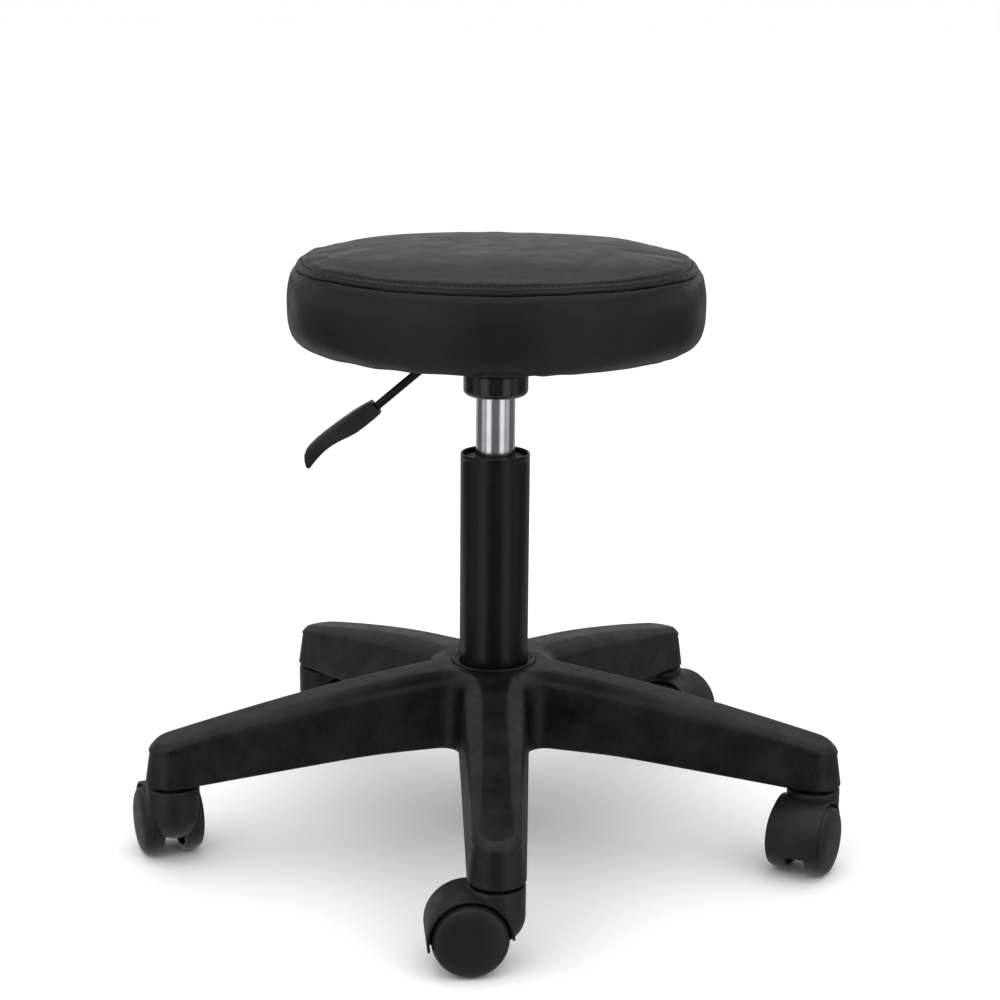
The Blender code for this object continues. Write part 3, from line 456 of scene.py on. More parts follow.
def add_light(name, at, towards, size, radiance):
    """A soft box that the camera doesn't see."""
    data = bpy.data.lights.new(name, 'AREA')
    data.shape = 'RECTANGLE'
    data.size, data.size_y = size
    data.energy = radiance * pi * size[0] * size[1]
    light = in_scene(name, data)
    light.visible_camera = False
    aim = (Vector(towards) - Vector(at)).to_track_quat('-Z', 'Y').to_matrix().to_4x4()
    light.matrix_world = Matrix.Translation(COLUMN + Vector(at)) @ aim


def add_world():
    """A white backdrop, while the stool reflects a dim room with bright bands above, below and level."""
    world = bpy.data.worlds.new("studio")
    world.use_nodes = True
    tree = world.node_tree
    # from straight down (0) through the horizon (0.5) to straight up (1)
    levels = [(0.0, 0.9), (0.12, 0.75), (0.25, 0.12), (0.505, 0.14), (0.53, 1.1), (0.58, 1.1),
              (0.625, 0.3), (0.71, 0.18), (0.87, 1.6)]
    direction = new_node(tree, "TexCoord", {}).outputs["Generated"]
    up = new_node(tree, "SeparateXYZ", {"Vector": direction}).outputs["Z"]
    room = ramp(tree, multiply_add(tree, up, 0.5, 0.5), [(place, (level,) * 3) for place, level in levels])
    feed(tree, tree.nodes["Background"], {"Color": room})
    reflected = tree.nodes["Background"].outputs["Background"]
    backdrop = new_node(tree, "Background", {"Color": (1.0, 1.0, 1.0, 1.0)}).outputs["Background"]
    seen = new_node(tree, "LightPath", {}).outputs["Is Camera Ray"]
    mix = new_node(tree, "MixShader", {"Fac": seen, 1: reflected, 2: backdrop}).outputs["Shader"]
    feed(tree, tree.nodes["World Output"], {"Surface": mix})
    bpy.context.scene.world = world


# upright strips round the stool: degrees from the front, width, height of the middle, height, radiance
STRIPS = {
    "front_left": (-40, 0.72, 0.2, 2.4, 1.12), "front_right": (40, 0.72, 0.2, 2.4, 1.02),
    "side_left": (-74, 0.62, 0.2, 2.4, 0.43), "side_right": (74, 0.62, 0.2, 2.4, 0.43),
    "back_left": (-143, 0.42, -0.45, 1.5, 0.6), "back_right": (143, 0.42, -0.45, 1.5, 0.36),
    "low_left": (-122, 0.5, -0.65, 1.0, 0.55), "low_right": (116, 0.6, -0.65, 1.0, 0.36),
}
STRIP_DISTANCE = 1.4


def add_lights():
    """A wide soft box overhead, and strips for the bands on the tubes. Below the floor they only reflect."""
    bpy.context.scene.view_settings.view_transform = 'Standard'
    add_world()
    add_light("overhead", (0.0, 0.2, 2.2), (0.0, 0.0, 0.25), (2.4, 1.8), 0.55)
    for name, (angle, width, middle, height, radiance) in STRIPS.items():
        x, y = STRIP_DISTANCE * sin(radians(angle)), -STRIP_DISTANCE * cos(radians(angle))
        add_light(name, (x, y, middle), (0.0, 0.0, middle), (width, height), radiance)


# ---------------------------------------------------------------- five-arm base


def arm_half_width(x):
    return ARM_END_RADIUS + ARM_FLARE * (STEM_CIRCLE - x)


def arm_top(r):
    """Level up to the hub ring, then falling ever faster towards the arm's end."""
    reach = STEM_CIRCLE + ARM_END_RADIUS - RING_RADIUS
    return HUB_TOP - 0.0003 - ARM_DROP * (max(r - RING_RADIUS, 0.0) / reach) ** ARM_DROP_POWER


def arm_bottom(r):
    """Level below the hub, then bending softly into a straight fall to the arm's end."""
    along = (r - ARM_LEVEL_TO) / (STEM_CIRCLE - ARM_LEVEL_TO)
    soft = (along + sqrt(along ** 2 + 0.012)) / 2
    return ARM_BOTTOM + (TIP_BOTTOM - ARM_BOTTOM) * min(soft, 1.0)


def panel_half_width(x):
    """Half the width of the flat panel along the arm's top, which widens into the arm's end."""
    widens_from = 0.15
    towards_end = min(max((x - widens_from) / (STEM_CIRCLE - widens_from), 0.0), 1.0)
    return 0.0096 + 0.0022 * towards_end ** 2


def side_outline():
    """One side of an arm along +X, seen from above: from the valley beside the hub round to the arm's end.

    Gives for each point where it is, which way is inwards, and where its line meets the arm's middle.
    """
    lean = atan2(ARM_FLARE, 1.0)
    to_side = ARM_STEP / 2 + lean
    corner_x = (ARM_END_RADIUS + ARM_FLARE * STEM_CIRCLE) / (tan(ARM_STEP / 2) + ARM_FLARE)
    corner = Vector((corner_x, arm_half_width(corner_x)))
    out = Vector((cos(ARM_STEP / 2), sin(ARM_STEP / 2)))
    centre = corner + out * (VALLEY_FILLET / sin(to_side))
    points = []
    for i in range(9):
        angle = ARM_STEP / 2 + pi + (pi / 2 - to_side) * i / 8
        away = Vector((cos(angle), sin(angle)))
        at = centre + away * VALLEY_FILLET
        points.append((at, away, at.x))
    start = points[-1][0].x
    inwards = Vector((-ARM_FLARE, -1.0)).normalized()
    stations = sorted(set([start + (STEM_CIRCLE - start) * i / 26 for i in range(1, 27)]
                          + [rib + offset for rib in RIBS for offset in (-0.0016, -0.0012, 0.0012, 0.0016)]))
    for x in stations:
        if start < x <= STEM_CIRCLE:
            points.append((Vector((x, arm_half_width(x))), inwards, x))
    for i in range(1, 13):
        angle = pi / 2 * (1 - i / 12)
        away = Vector((cos(angle), sin(angle)))
        points.append((Vector((STEM_CIRCLE, 0)) + away * ARM_END_RADIUS, -away, STEM_CIRCLE))
    return points


def pocket_depth(x):
    """1 where the arm is hollow below, 0 at its cross ribs, hub and end."""
    inside = RIBS[0] < x < RIBS[-1]
    return 1.0 if inside and all(abs(x - rib) > 0.0014 for rib in RIBS) else 0.0


def rib_line(at, inwards, middle_x):
    """Points from the arm's middle out over its top, down its side and back along its underside."""
    def point(distance, z):
        here = at + inwards * distance
        return (here.x, here.y, z)

    def top(distance):
        return arm_top((at + inwards * distance).length)

    along = min(at.x, STEM_CIRCLE)
    reach = min(arm_half_width(along) - panel_half_width(along), 0.015)
    reach *= min(1.0, 0.62 + 0.38 * min(at.length / 0.075, 1.0))
    floor = arm_bottom(at.length)
    draft = 0.003
    edge = [(reach * 1.12, 0.0), (reach, 0.0002), (reach * 0.9, 0.0008), (reach * 0.72, 0.0019),
            (reach * 0.54, 0.0032), (reach * 0.4, 0.0048), (draft + 0.0006, 0.0068), (draft, 0.0092)]
    inner_at = at + inwards * edge[0][0]
    middle = Vector((max(middle_x, 0.04), 0.0))
    line = []
    for share in (0.0, 0.25, 0.5, 0.75):
        here = middle.lerp(inner_at, share)
        line.append((here.x, here.y, arm_top(here.length)))
    line += [point(distance, top(distance) - drop) for distance, drop in edge]
    wall_top = line[-1][2]
    for share in (0.25, 0.5, 0.75, 0.95):
        line.append(point(draft * (1 - share), wall_top + (floor - wall_top) * share))
    depth = pocket_depth(middle_x)
    ceiling = floor + (top(reach) - 0.0085 - floor) * depth
    line += [point(0.0002, floor + 0.0006), point(0.0009, floor), point(WALL - 0.0004, floor),
             point(WALL + 0.0004, floor + 0.0006 * depth), point(WALL + draft, ceiling)]
    under_at = at + inwards * (WALL + draft)
    for share, z in ((0.5, ceiling), (0.86, ceiling), (0.93, floor), (1.0, floor)):
        here = under_at.lerp(middle, share)
        line.append((here.x, here.y, z))
    return line


def base_sector():
    """One arm with its share of the hub: the top round the ring, the column's bore and the socket."""
    side = [rib_line(*point) for point in side_outline()]
    mirrored = [[(x, -y, z) for x, y, z in line] for line in side]
    bore = COLUMN_RADIUS + 0.0004
    ledge = low("hub_ring").z - 0.0003
    seat = RING_RADIUS + 0.0006
    steps = [(seat, HUB_TOP - 0.0003), (seat - 0.0003, HUB_TOP - 0.0008), (seat - 0.0003, ledge),
             (bore, ledge), (bore, TAPER_TOP), (bore - 0.0012, SOCKET_BOTTOM + 0.0006),
             (bore - 0.0004, SOCKET_BOTTOM), (SOCKET_RADIUS - 0.0008, SOCKET_BOTTOM),
             (SOCKET_RADIUS, SOCKET_BOTTOM + 0.0008), (SOCKET_RADIUS, ARM_BOTTOM)]
    shares = []
    for sign in (1, -1):
        spread = [sign * ARM_STEP / 2 * i / 4 for i in range(5)]
        rows = [[(x, sign * y, z) for x, y, z in side[0][:5]]]
        for share in (0.4, 0.8):
            row = []
            for (x, y, z), angle in zip(side[0], spread):
                on_ring = Vector((seat * cos(angle), seat * sin(angle)))
                here = Vector((x, sign * y)).lerp(on_ring, share)
                row.append((here.x, here.y, arm_top(here.length)))
            rows.append(row)
        rows += [[(radius * cos(a), radius * sin(a), z) for a in spread] for radius, z in steps]
        rows.append([(x, sign * y, z) for x, y, z in reversed(side[0][-5:])])
        shares.append(grid_mesh("hub_share", rows))
    return merged("sector", [grid_mesh("arm_side", side), grid_mesh("arm_side", mirrored)] + shares)


def add_base():
    """The moulded star: one arm's mesh turned five times and welded in the valleys."""
    sector = base_sector()
    arms = []
    for i in range(len(CASTERS)):
        arm = sector.copy()
        arm.transform(Matrix.Rotation(FIRST_ARM + ARM_STEP * i, 4, 'Z'))
        arms.append(arm)
    star = merged("star_base", arms, angle=62.0)
    add("star_base", star, "black_nylon", "base", ["base_star"])


def add_hub_ring():
    """The ring let into the hub's top: a raised bead round a lower inner part."""
    bottom, top = heights("hub_ring")
    inner, bead = COLUMN_RADIUS + 0.0004, RING_RADIUS - 0.0021
    profile = [(inner, top - 0.0013), (bead - 0.0008, top - 0.0013), (bead, top - 0.0002),
               (RING_RADIUS - 0.0007, top), (RING_RADIUS, top - 0.0007), (RING_RADIUS, bottom),
               (inner, bottom)]
    add_turned("column_ring", "hub_ring", profile, "black_paint", "base", steps=120, look="black_nylon")


# ---------------------------------------------------------------- gas lift


def add_column():
    """The outer tube: a rolled rim with a shallow groove below it, and the taper that sits in the hub."""
    bottom, top = heights("column_tube")
    outer, inner = COLUMN_RADIUS, COLUMN_RADIUS - 0.0016
    floor, groove, rod_hole = bottom + 0.003, top - 0.0034, 0.0046
    profile = [(inner, top - 0.0004), (inner + 0.0005, top), (outer - 0.0002, top), (outer, top - 0.0006),
               (outer, groove + 0.0007), (outer - 0.0004, groove), (outer, groove - 0.0007),
               (outer, TAPER_TOP), (outer - 0.0012, bottom), (rod_hole, bottom), (rod_hole, floor),
               (inner - 0.0012, floor), (inner, TAPER_TOP)]
    add_turned("column", "column_tube", profile, "black_paint", "base", radius=0.0005)


def add_bush():
    """The plastic guide in the column's mouth, with a lead-in round the cylinder."""
    bottom, top = heights("guide_bush")
    outer, inner = half_width("guide_bush"), half_width("gas_cylinder") + 0.0003
    profile = [(inner + 0.0016, top), (outer - 0.002, top), (outer, top - 0.001), (outer, bottom),
               (inner, bottom), (inner, top - 0.0016)]
    add_turned("column_bush", "guide_bush", profile, "bush_plastic", "base", steps=96)


def add_cylinder():
    bottom, top = heights("gas_cylinder")
    outer, wall, valve_hole = half_width("gas_cylinder"), 0.0015, 0.0034
    head = top - 0.024
    profile = [(valve_hole, top), (outer - 0.0015, top), (outer - 0.0006, top - 0.001), (outer, 0.32),
               (outer, bottom + 0.001), (outer - 0.001, bottom), (outer - wall, bottom),
               (outer - wall, head), (valve_hole, head)]
    add_turned("lift_cylinder", "gas_cylinder", profile, "chrome", "seat")


def add_cup():
    """The glossy cup round the cylinder's tapered head."""
    bottom, top = heights("taper_cup")
    outer, inner, mouth, rounding = half_width("taper_cup"), 0.0184, 0.0148, 0.0045
    profile = [(inner, top), (outer - 0.0006, top), (outer, top - 0.0008)]
    profile += arc((outer - rounding, bottom + rounding), rounding, 0, -90, 6)
    profile += [(mouth + 0.0004, bottom), (mouth, bottom + 0.0004), (mouth, bottom + 0.0018),
                (inner, bottom + 0.0018)]
    add_turned("head_cup", "taper_cup", profile, "gloss_black", "seat", radius=0.0003)


# ---------------------------------------------------------------- seat plate and lever

PLATE_TOP = high("seat_plate").z
PLATE_BOTTOM = PLATE_TOP - 0.0025
CUP_TOP = high("taper_cup").z
PIVOT = joint_place("lever_lift") - COLUMN


def add_plate_cone():
    """The pressed cone under the plate, with the slot that the lever comes out of."""
    ring = CUP_TOP + 0.0003
    outer = [(0.018, ring), (0.0254, ring), (0.0258, ring + 0.0005), (0.0258, ring + 0.0018),
             (0.0268, ring + 0.0026), (0.031, 0.3456), (0.0362, 0.3512), (0.044, PLATE_BOTTOM - 0.0018),
             (0.049, PLATE_BOTTOM - 0.0002), (0.049, PLATE_BOTTOM)]
    inner = [(0.044, PLATE_BOTTOM), (0.0345, 0.3524), (0.0254, ring + 0.0036), (0.0142, ring + 0.003),
             (0.0142, 0.3262), (0.018, 0.3262)]
    slot_outline = arc((-0.062, 0), 0.0046, 90, 270, 8) + arc((-0.026, 0), 0.0046, -90, 90, 8)
    slot = extruded("slot", slot_outline, ring + 0.0034, PLATE_BOTTOM - 0.0006)
    cone = turned("plate_cone", outer + inner, 96, 0.0012)
    cone = combined("plate_cone", cone, [('DIFFERENCE', slot)], 35.0)
    add("plate_cone", cone, "black_paint", "seat", ["seat_plate"])


def add_plate():
    """The square plate under the board, with rounded corners and a pressed bead on each side."""
    corner, eye_radius = 0.018, 0.043
    half = half_width("seat_plate") - corner
    outline = []
    for i, (x, y) in enumerate([(1, 1), (-1, 1), (-1, -1), (1, -1)]):
        outline += arc((x * half, y * half), corner, 90 * i, 90 * i + 90, 8)
    above, below = PLATE_TOP + 0.01, PLATE_BOTTOM - 0.01
    eye = turned("eye", [(0, above), (eye_radius, above), (eye_radius, below), (0, below)], 96, 0.0)
    sheet = extruded("plate", outline, PLATE_BOTTOM, PLATE_TOP)
    sheet = combined("plate", sheet, [('DIFFERENCE', eye)], 35.0, bevel=0.0006)
    add("seat_plate_sheet", sheet, "black_paint", "seat")
    bead_half, bead_radius = 0.022, 0.003
    outline = arc((bead_half, 0), bead_radius, -90, 90, 8) + arc((-bead_half, 0), bead_radius, 90, 270, 8)
    for i in range(4):
        bead = extruded("bead", outline, PLATE_BOTTOM - 0.0012, PLATE_BOTTOM + 0.0004)
        bead = combined("bead", bead, [], 50.0, bevel=0.001, segments=3)
        turn = Matrix.Rotation(pi / 2 * i, 4, 'Z') @ Matrix.Translation((0, 0.062, 0))
        add(f"plate_bead_{i + 1}", bead, "black_paint", "seat", turn=turn)


def add_bolts():
    """Button-head bolts with a hexagon socket, seen from below."""
    head, shank, shank_top = PLATE_BOTTOM - 0.0003, 0.003, PLATE_BOTTOM + 0.0117
    profile = [(0, shank_top), (shank, shank_top), (shank, head), (0.0056, head), (0.0056, head - 0.0008),
               (0.0046, head - 0.0024), (0.003, head - 0.0031), (0, head - 0.0032)]
    for i in range(1, 5):
        node = f"seat_bolt_{i}"
        middle = (low(node) + high(node)) / 2
        socket = extruded("socket", arc((0, 0), 0.002, 0, 300, 5), head - 0.004, head - 0.0008)
        bolt = combined("bolt", turned("bolt", profile, 36, 0.0003), [('DIFFERENCE', socket)], 30.0)
        add(f"plate_bolt_{i}", bolt, "zinc", "seat", [node], at=Vector((middle.x, middle.y, 0.0)))


LEVER_SLOPE = radians(40.5)
LEVER_BEND = Vector((-0.0426, 0.0, PIVOT.z))
HANDLE_START = (LEVER_BEND.x + 0.085) / cos(LEVER_SLOPE)
LEVER_ALONG = Vector((-cos(LEVER_SLOPE), 0.0, -sin(LEVER_SLOPE)))
LEVER_ACROSS = Vector((-sin(LEVER_SLOPE), 0.0, cos(LEVER_SLOPE)))


def add_lever_rod():
    """The bent rod: level over the release button, then down to the handle."""
    bend = 0.008
    points = [Vector((x, 0.0, PIVOT.z)) for x in (0.002, -0.01, -0.022)]
    before, after = LEVER_BEND + Vector((bend, 0, 0)), LEVER_BEND + LEVER_ALONG * bend
    for t in np.linspace(0.0, 1.0, 9):
        points.append(before * (1 - t) ** 2 + LEVER_BEND * 2 * t * (1 - t) + after * t ** 2)
    for share in (0.5, 1.0):
        points.append(after.lerp(LEVER_BEND + LEVER_ALONG * (HANDLE_START + 0.024), share))
    add("lever_arm", tube("lever_arm", points, 0.003, 24), "black_paint", "lever", ["lever_rod"])


# the handle's outline: its upper and lower edge at each station, along and across the rod
HANDLE_STATIONS = [
    ((0.0, 0.0058), (0.0, -0.0054)), ((0.006, 0.0068), (0.006, -0.0055)), ((0.015, 0.0082), (0.015, -0.0054)),
    ((0.024, 0.009), (0.0235, -0.0049)), ((0.031, 0.0095), (0.03, -0.0034)),
    ((0.037, 0.0098), (0.036, -0.0018)), ((0.043, 0.01), (0.042, -0.0008)),
    ((0.049, 0.01), (0.048, -0.0004)), ((0.0545, 0.0096), (0.0535, -0.0008)),
    ((0.059, 0.0088), (0.058, -0.0015)), ((0.0625, 0.0068), (0.0615, -0.0022)),
    ((0.065, 0.0036), (0.064, -0.0027)), ((0.0667, 0.0002), (0.0658, -0.0029))]
HANDLE_HALF_BREADTH = 0.007
HANDLE_SQUARENESS = 7.0


def handle_ring(station, taper=1.0, shrink=1.0, push=0.0):
    """A nearly square ring at a station, shrunk towards its middle and pushed along the rod."""
    upper, lower = (Vector(edge) for edge in station)
    centre, half = (upper + lower) / 2, (upper - lower) / 2 * shrink
    row = []
    for angle in 2 * pi * np.arange(56) / 56:
        c, s = cos(angle), sin(angle)
        size = (abs(c) ** HANDLE_SQUARENESS + abs(s) ** HANDLE_SQUARENESS) ** (-1 / HANDLE_SQUARENESS)
        flat = centre + half * (s * size)
        row.append((flat.x + push, flat.y, c * size * HANDLE_HALF_BREADTH * taper * shrink))
    return row


def add_lever_handle():
    """The curved plastic grip, with a hollow round the rod and a thinner end."""
    first, last = HANDLE_STATIONS[0], HANDLE_STATIONS[-1]
    rows = [handle_ring(first, 1.0, shrink, push) for shrink, push in
            ((0.5, 0.004), (0.56, 0.0002), (0.62, 0.0), (0.9, 0.0), (0.97, 0.0003))]
    rows += [handle_ring(station, 1.0 - 0.1 * max(0, i - 8) / 4)
             for i, station in enumerate(HANDLE_STATIONS) if i]
    rows += [handle_ring(last, 0.9, 0.86, 0.0005), handle_ring(last, 0.9, 0.5, 0.0007)]
    handle = grid_mesh("lever_grip", rows, wrap=True, angle=38.0, close_ends=True)
    turn = Matrix((LEVER_ALONG, LEVER_ACROSS, LEVER_ALONG.cross(LEVER_ACROSS))).transposed().to_4x4()
    turn.translation = LEVER_BEND + LEVER_ALONG * HANDLE_START
    handle.transform(turn)
    add("lever_grip", handle, "handle_plastic", "lever", ["lever_handle"])


# ---------------------------------------------------------------- casters


def wheel_mesh():
    """A wheel along Z: a domed outer face inside a rim, a rounded tread, and a recess on its inner face."""
    rim, edge, inner = WHEEL_RADIUS, WHEEL_EDGE, WHEEL_INNER
    face_foot, recess, bore = edge + 0.0012, inner + 0.004, 0.0044
    profile = [(0, WHEEL_OUTER)]
    for a in range(88, -1, -8):
        rise = (WHEEL_OUTER - face_foot) * sin(radians(a))
        profile.append((0.0236 * cos(radians(a)) ** 0.62, face_foot + rise))
    profile += [(0.0238, edge + 0.0007), (rim - 0.0006, edge - 0.0006), (rim, edge - 0.0034),
                (rim, inner + 0.0014), (rim - 0.0012, inner), (rim - 0.0034, inner), (rim - 0.004, recess),
                (0.0074, recess), (0.007, inner), (bore, inner), (bore, edge - 0.001), (0, edge - 0.001)]
    return turned("caster_wheel", profile, 96, 0.0006)


def hood_mesh():
    """A round neck with a domed foot, and a guard over the wheels, which trail along +X."""
    dome = NECK_FOOT + NECK_DOME
    profile = [(0, NECK_TOP), (NECK_RADIUS - 0.0008, NECK_TOP), (NECK_RADIUS, NECK_TOP - 0.0008)]
    profile += [(NECK_RADIUS * cos(a), dome - NECK_DOME * sin(a)) for a in np.linspace(0, radians(86), 13)]
    neck = turned("neck", profile + [(0, NECK_FOOT)], 64, 0.0)
    outline = arc((0, 0), HOOD_RADIUS, -HOOD_TAIL, 180, 52) + [(-0.004, 0.0)]
    guard = extruded("guard", outline, -HOOD_HALF_WIDTH, HOOD_HALF_WIDTH)
    web = WEB_HALF_WIDTH + 0.0006
    boss = extruded("boss", arc((0, 0), 0.009, 0, 350, 35), -web, web)
    cuts = []
    for radius, start in ((HOOD_POCKET, WEB_HALF_WIDTH), (HOOD_RADIUS - 0.0012, HOOD_HALF_WIDTH - 0.001)):
        for span in ((start, 0.03), (-0.03, -start)):
            cuts.append(extruded("cut", arc((0, 0), radius, 3.75, 356.25, 47), *span))
    lying = Matrix.Translation((TRAIL, 0, WHEEL_RADIUS)) @ Matrix.Rotation(pi / 2, 4, 'X')
    for mesh in [guard, boss] + cuts:
        mesh.transform(lying)
    parts = [('UNION', guard), ('UNION', boss)] + [('DIFFERENCE', mesh) for mesh in cuts]
    return combined("hood", neck, parts, 32.0, bevel=0.0005, bevel_angle=32.0)


def add_casters():
    """Five casters, each turned to where the frame has its wheels."""
    hood, wheel = hood_mesh(), wheel_mesh()
    flange, radius, foot, top = NECK_TOP + 0.0003, 0.0055, 0.042, 0.083
    profile = [(0, top), (0.0048, top), (radius, top - 0.001), (radius, flange + 0.0021),
               (0.009, flange + 0.0021), (0.009, flange), (radius, flange), (radius, foot), (0, foot)]
    stem = turned("stem", profile, 40, 0.0003)
    axle = turned("axle", [(0, 0.017), (0.004, 0.017), (0.004, -0.017), (0, -0.017)], 40, 0.0004)
    for name in CASTERS:
        body = f"caster_{name}"
        stem_at = STEMS[name]
        trail = joint_place(f"{body}_spin_a") - COLUMN - stem_at
        swivel = Matrix.Rotation(atan2(trail.y, trail.x), 4, 'Z')
        swivel.translation = (stem_at.x, stem_at.y, 0)
        lying = swivel @ Matrix.Translation((TRAIL, 0, WHEEL_RADIUS)) @ Matrix.Rotation(pi / 2, 4, 'X')
        add(f"{name}_hood", hood, "black_nylon", body, [body + "_hood"], turn=swivel, look="caster_nylon")
        add(f"{name}_stem", stem, "steel", body, [body + "_stem"], turn=swivel)
        add(f"{name}_axle", axle, "steel", body, [body + "_axle"], turn=lying)
        for side, turn in (("a", lying @ Matrix.Rotation(pi, 4, 'X')), ("b", lying)):
            node = f"{body}_wheel_{side}"
            add(f"{name}_wheel_{side}", wheel, "black_nylon", node, [node], turn=turn, look="caster_nylon")


# ---------------------------------------------------------------- cushion


def band_radius(z):
    """Outer radius of the side: a rounded square corner below its widest place, a slow lean inwards above."""
    if z < SEAT_WIDEST:
        down = min((SEAT_WIDEST - z) / (SEAT_WIDEST - SEAT_BOTTOM), 1.0)
        rounding = (1 - down ** SIDE_POWER) ** (1 / SIDE_POWER)
        return SEAT_FOOT_RADIUS + (SEAT_RADIUS - SEAT_FOOT_RADIUS) * rounding
    up = (z - SEAT_WIDEST) / (SEAM_HEIGHT - SEAT_WIDEST)
    return SEAT_RADIUS - (SEAT_RADIUS - SEAM_RADIUS) * up ** LEAN_POWER


def crown_height(r):
    """Height of the top panel, which rises steeply from the seam and rolls over into a nearly flat middle."""
    left = max(1.0 - (r / SEAM_RADIUS) ** CROWN_POWER, 0.0)
    return SEAM_HEIGHT + (SEAT_TOP - 0.0004 - SEAM_HEIGHT) * left ** (1 / CROWN_ROUNDING)


def cushion_profile():
    """(radius, height) from the middle of the top to the seam, down the side and under to the hem's edge.

    The second result is the seam's place in the row.
    """
    top = [(r, crown_height(r)) for r in SEAM_RADIUS * np.sin(np.linspace(0.0, pi / 2, 320))]
    side = [(band_radius(z), z) for z in np.linspace(SEAM_HEIGHT, SEAT_WIDEST, 50)[1:]]
    down = (SEAT_WIDEST - SEAT_BOTTOM) * np.sin(np.linspace(0, pi / 2, 60)[1:])
    corner = [(band_radius(z), z) for z in SEAT_WIDEST - down]
    hem = [(r, SEAT_BOTTOM) for r in np.linspace(SEAT_FOOT_RADIUS, HEM_INNER, 8)[1:]]
    return np.array(top + side + corner + hem), len(top) - 1


def along(profile):
    """Distance along a row of points."""
    return np.concatenate([[0.0], np.cumsum(np.linalg.norm(np.diff(profile, axis=0), axis=1))])


def bell(distance, width):
    return np.exp(-(distance / width) ** 2)


def simulated_cushion():
    """A slightly smaller cushion, blown up as cloth with its seam and its foot held, to cast rays at."""
    inset, cap = 0.003, 0.009
    outline = [(0.0, SEAT_TOP - inset)]
    outline += [(r, crown_height(r) - inset) for r in np.linspace(0.03, 0.136, 9).tolist()]
    sides = np.linspace(SEAM_HEIGHT - 0.001, SEAT_BOTTOM + 0.004, 12).tolist()
    outline += [(band_radius(z) - inset, z) for z in sides]
    outline += [(HEM_INNER, SEAT_BOTTOM + inset), (0.0, SEAT_BOTTOM + inset)]
    pad = in_scene("pad", turned("pad", outline, 96, 0.0))
    modify(pad, 'REMESH', mode='VOXEL', voxel_size=0.005)
    mesh = evaluated(pad, "pad_cloth")
    bpy.data.objects.remove(pad)
    pad = in_scene("pad", mesh)
    rest = np.array([v.co for v in mesh.vertices])
    around = np.hypot(rest[:, 0], rest[:, 1])
    held = (np.abs(rest[:, 2] - SEAM_HEIGHT + inset) < 0.0032) & (around > SEAM_RADIUS - 0.008)
    held |= rest[:, 2] < SEAT_BOTTOM + 0.006
    pad.vertex_groups.new(name="held").add(np.flatnonzero(held).tolist(), 1.0, 'REPLACE')
    settings = pad.modifiers.new("cloth", 'CLOTH').settings
    settings.vertex_group_mass = "held"
    settings.use_pressure = True
    settings.uniform_pressure_force = 4.0
    settings.shrink_min = -0.035
    settings.tension_stiffness = 20.0
    settings.compression_stiffness = 12.0
    settings.bending_stiffness = 1.2
    settings.effector_weights.gravity = 0.0
    scene = bpy.context.scene
    for step in range(1, 21):
        scene.frame_set(step)
    blown = evaluated(pad, "pad_blown")
    scene.frame_set(1)
    bpy.data.objects.remove(pad)
    moved = np.array([v.co for v in blown.vertices]) - rest
    size = np.linalg.norm(moved, axis=1)
    moved *= np.minimum(1.0, cap / np.maximum(size, 1e-9))[:, None]
    blown.vertices.foreach_set("co", (rest + moved).astype(np.float32).ravel())
    smooth = bmesh.new()
    smooth.from_mesh(blown)
    bmesh.ops.smooth_vert(smooth, verts=smooth.verts, factor=0.5,
                          use_axis_x=True, use_axis_y=True, use_axis_z=True)
    tree = BVHTree.FromBMesh(smooth)
    smooth.free()
    return tree


def blurred(field, across, around):
    """A field over (ring, angle), averaged over its neighbours."""
    for _ in range(around):
        field = (np.roll(field, 1, axis=1) + 2 * field + np.roll(field, -1, axis=1)) / 4
    for _ in range(across):
        padded = np.vstack([field[:1], field, field[-1:]])
        field = (padded[:-2] + 2 * padded[1:-1] + padded[2:]) / 4
    return field


def cushion_rings(first, last):
    """Distances from the seam at which the rings of the cushion's mesh lie. Fine near the seam."""
    fine = np.arange(-0.0125, 0.0075, 0.00042)
    top = [np.linspace(first, -0.03, 34)[:-1], np.linspace(-0.03, fine[0], 17)[:-1]]
    return np.concatenate(top + [fine, np.linspace(fine[-1], last, 44)[1:]])


def folds(from_seam, angles, random):
    """Long soft folds in the top panel, nearly parallel to the seam, each fading out at its ends."""
    relief = np.zeros_like(from_seam)
    for _ in range(14):
        middle, reach = random.uniform(0, 2 * pi), random.uniform(0.22, 0.5)
        inwards, slant = random.uniform(0.013, 0.046), random.uniform(-0.02, 0.02)
        depth, breadth = random.uniform(0.00018, 0.00048), random.uniform(0.0016, 0.0032)
        aside = (angles - middle + pi) % (2 * pi) - pi
        fade = bell(aside, reach)
        distance = from_seam + inwards + slant * aside[None, :] - 0.004 * fade[None, :]
        relief += depth * fade * (bell(distance - breadth, breadth) - 1.1 * bell(distance, breadth * 0.6))
    return relief


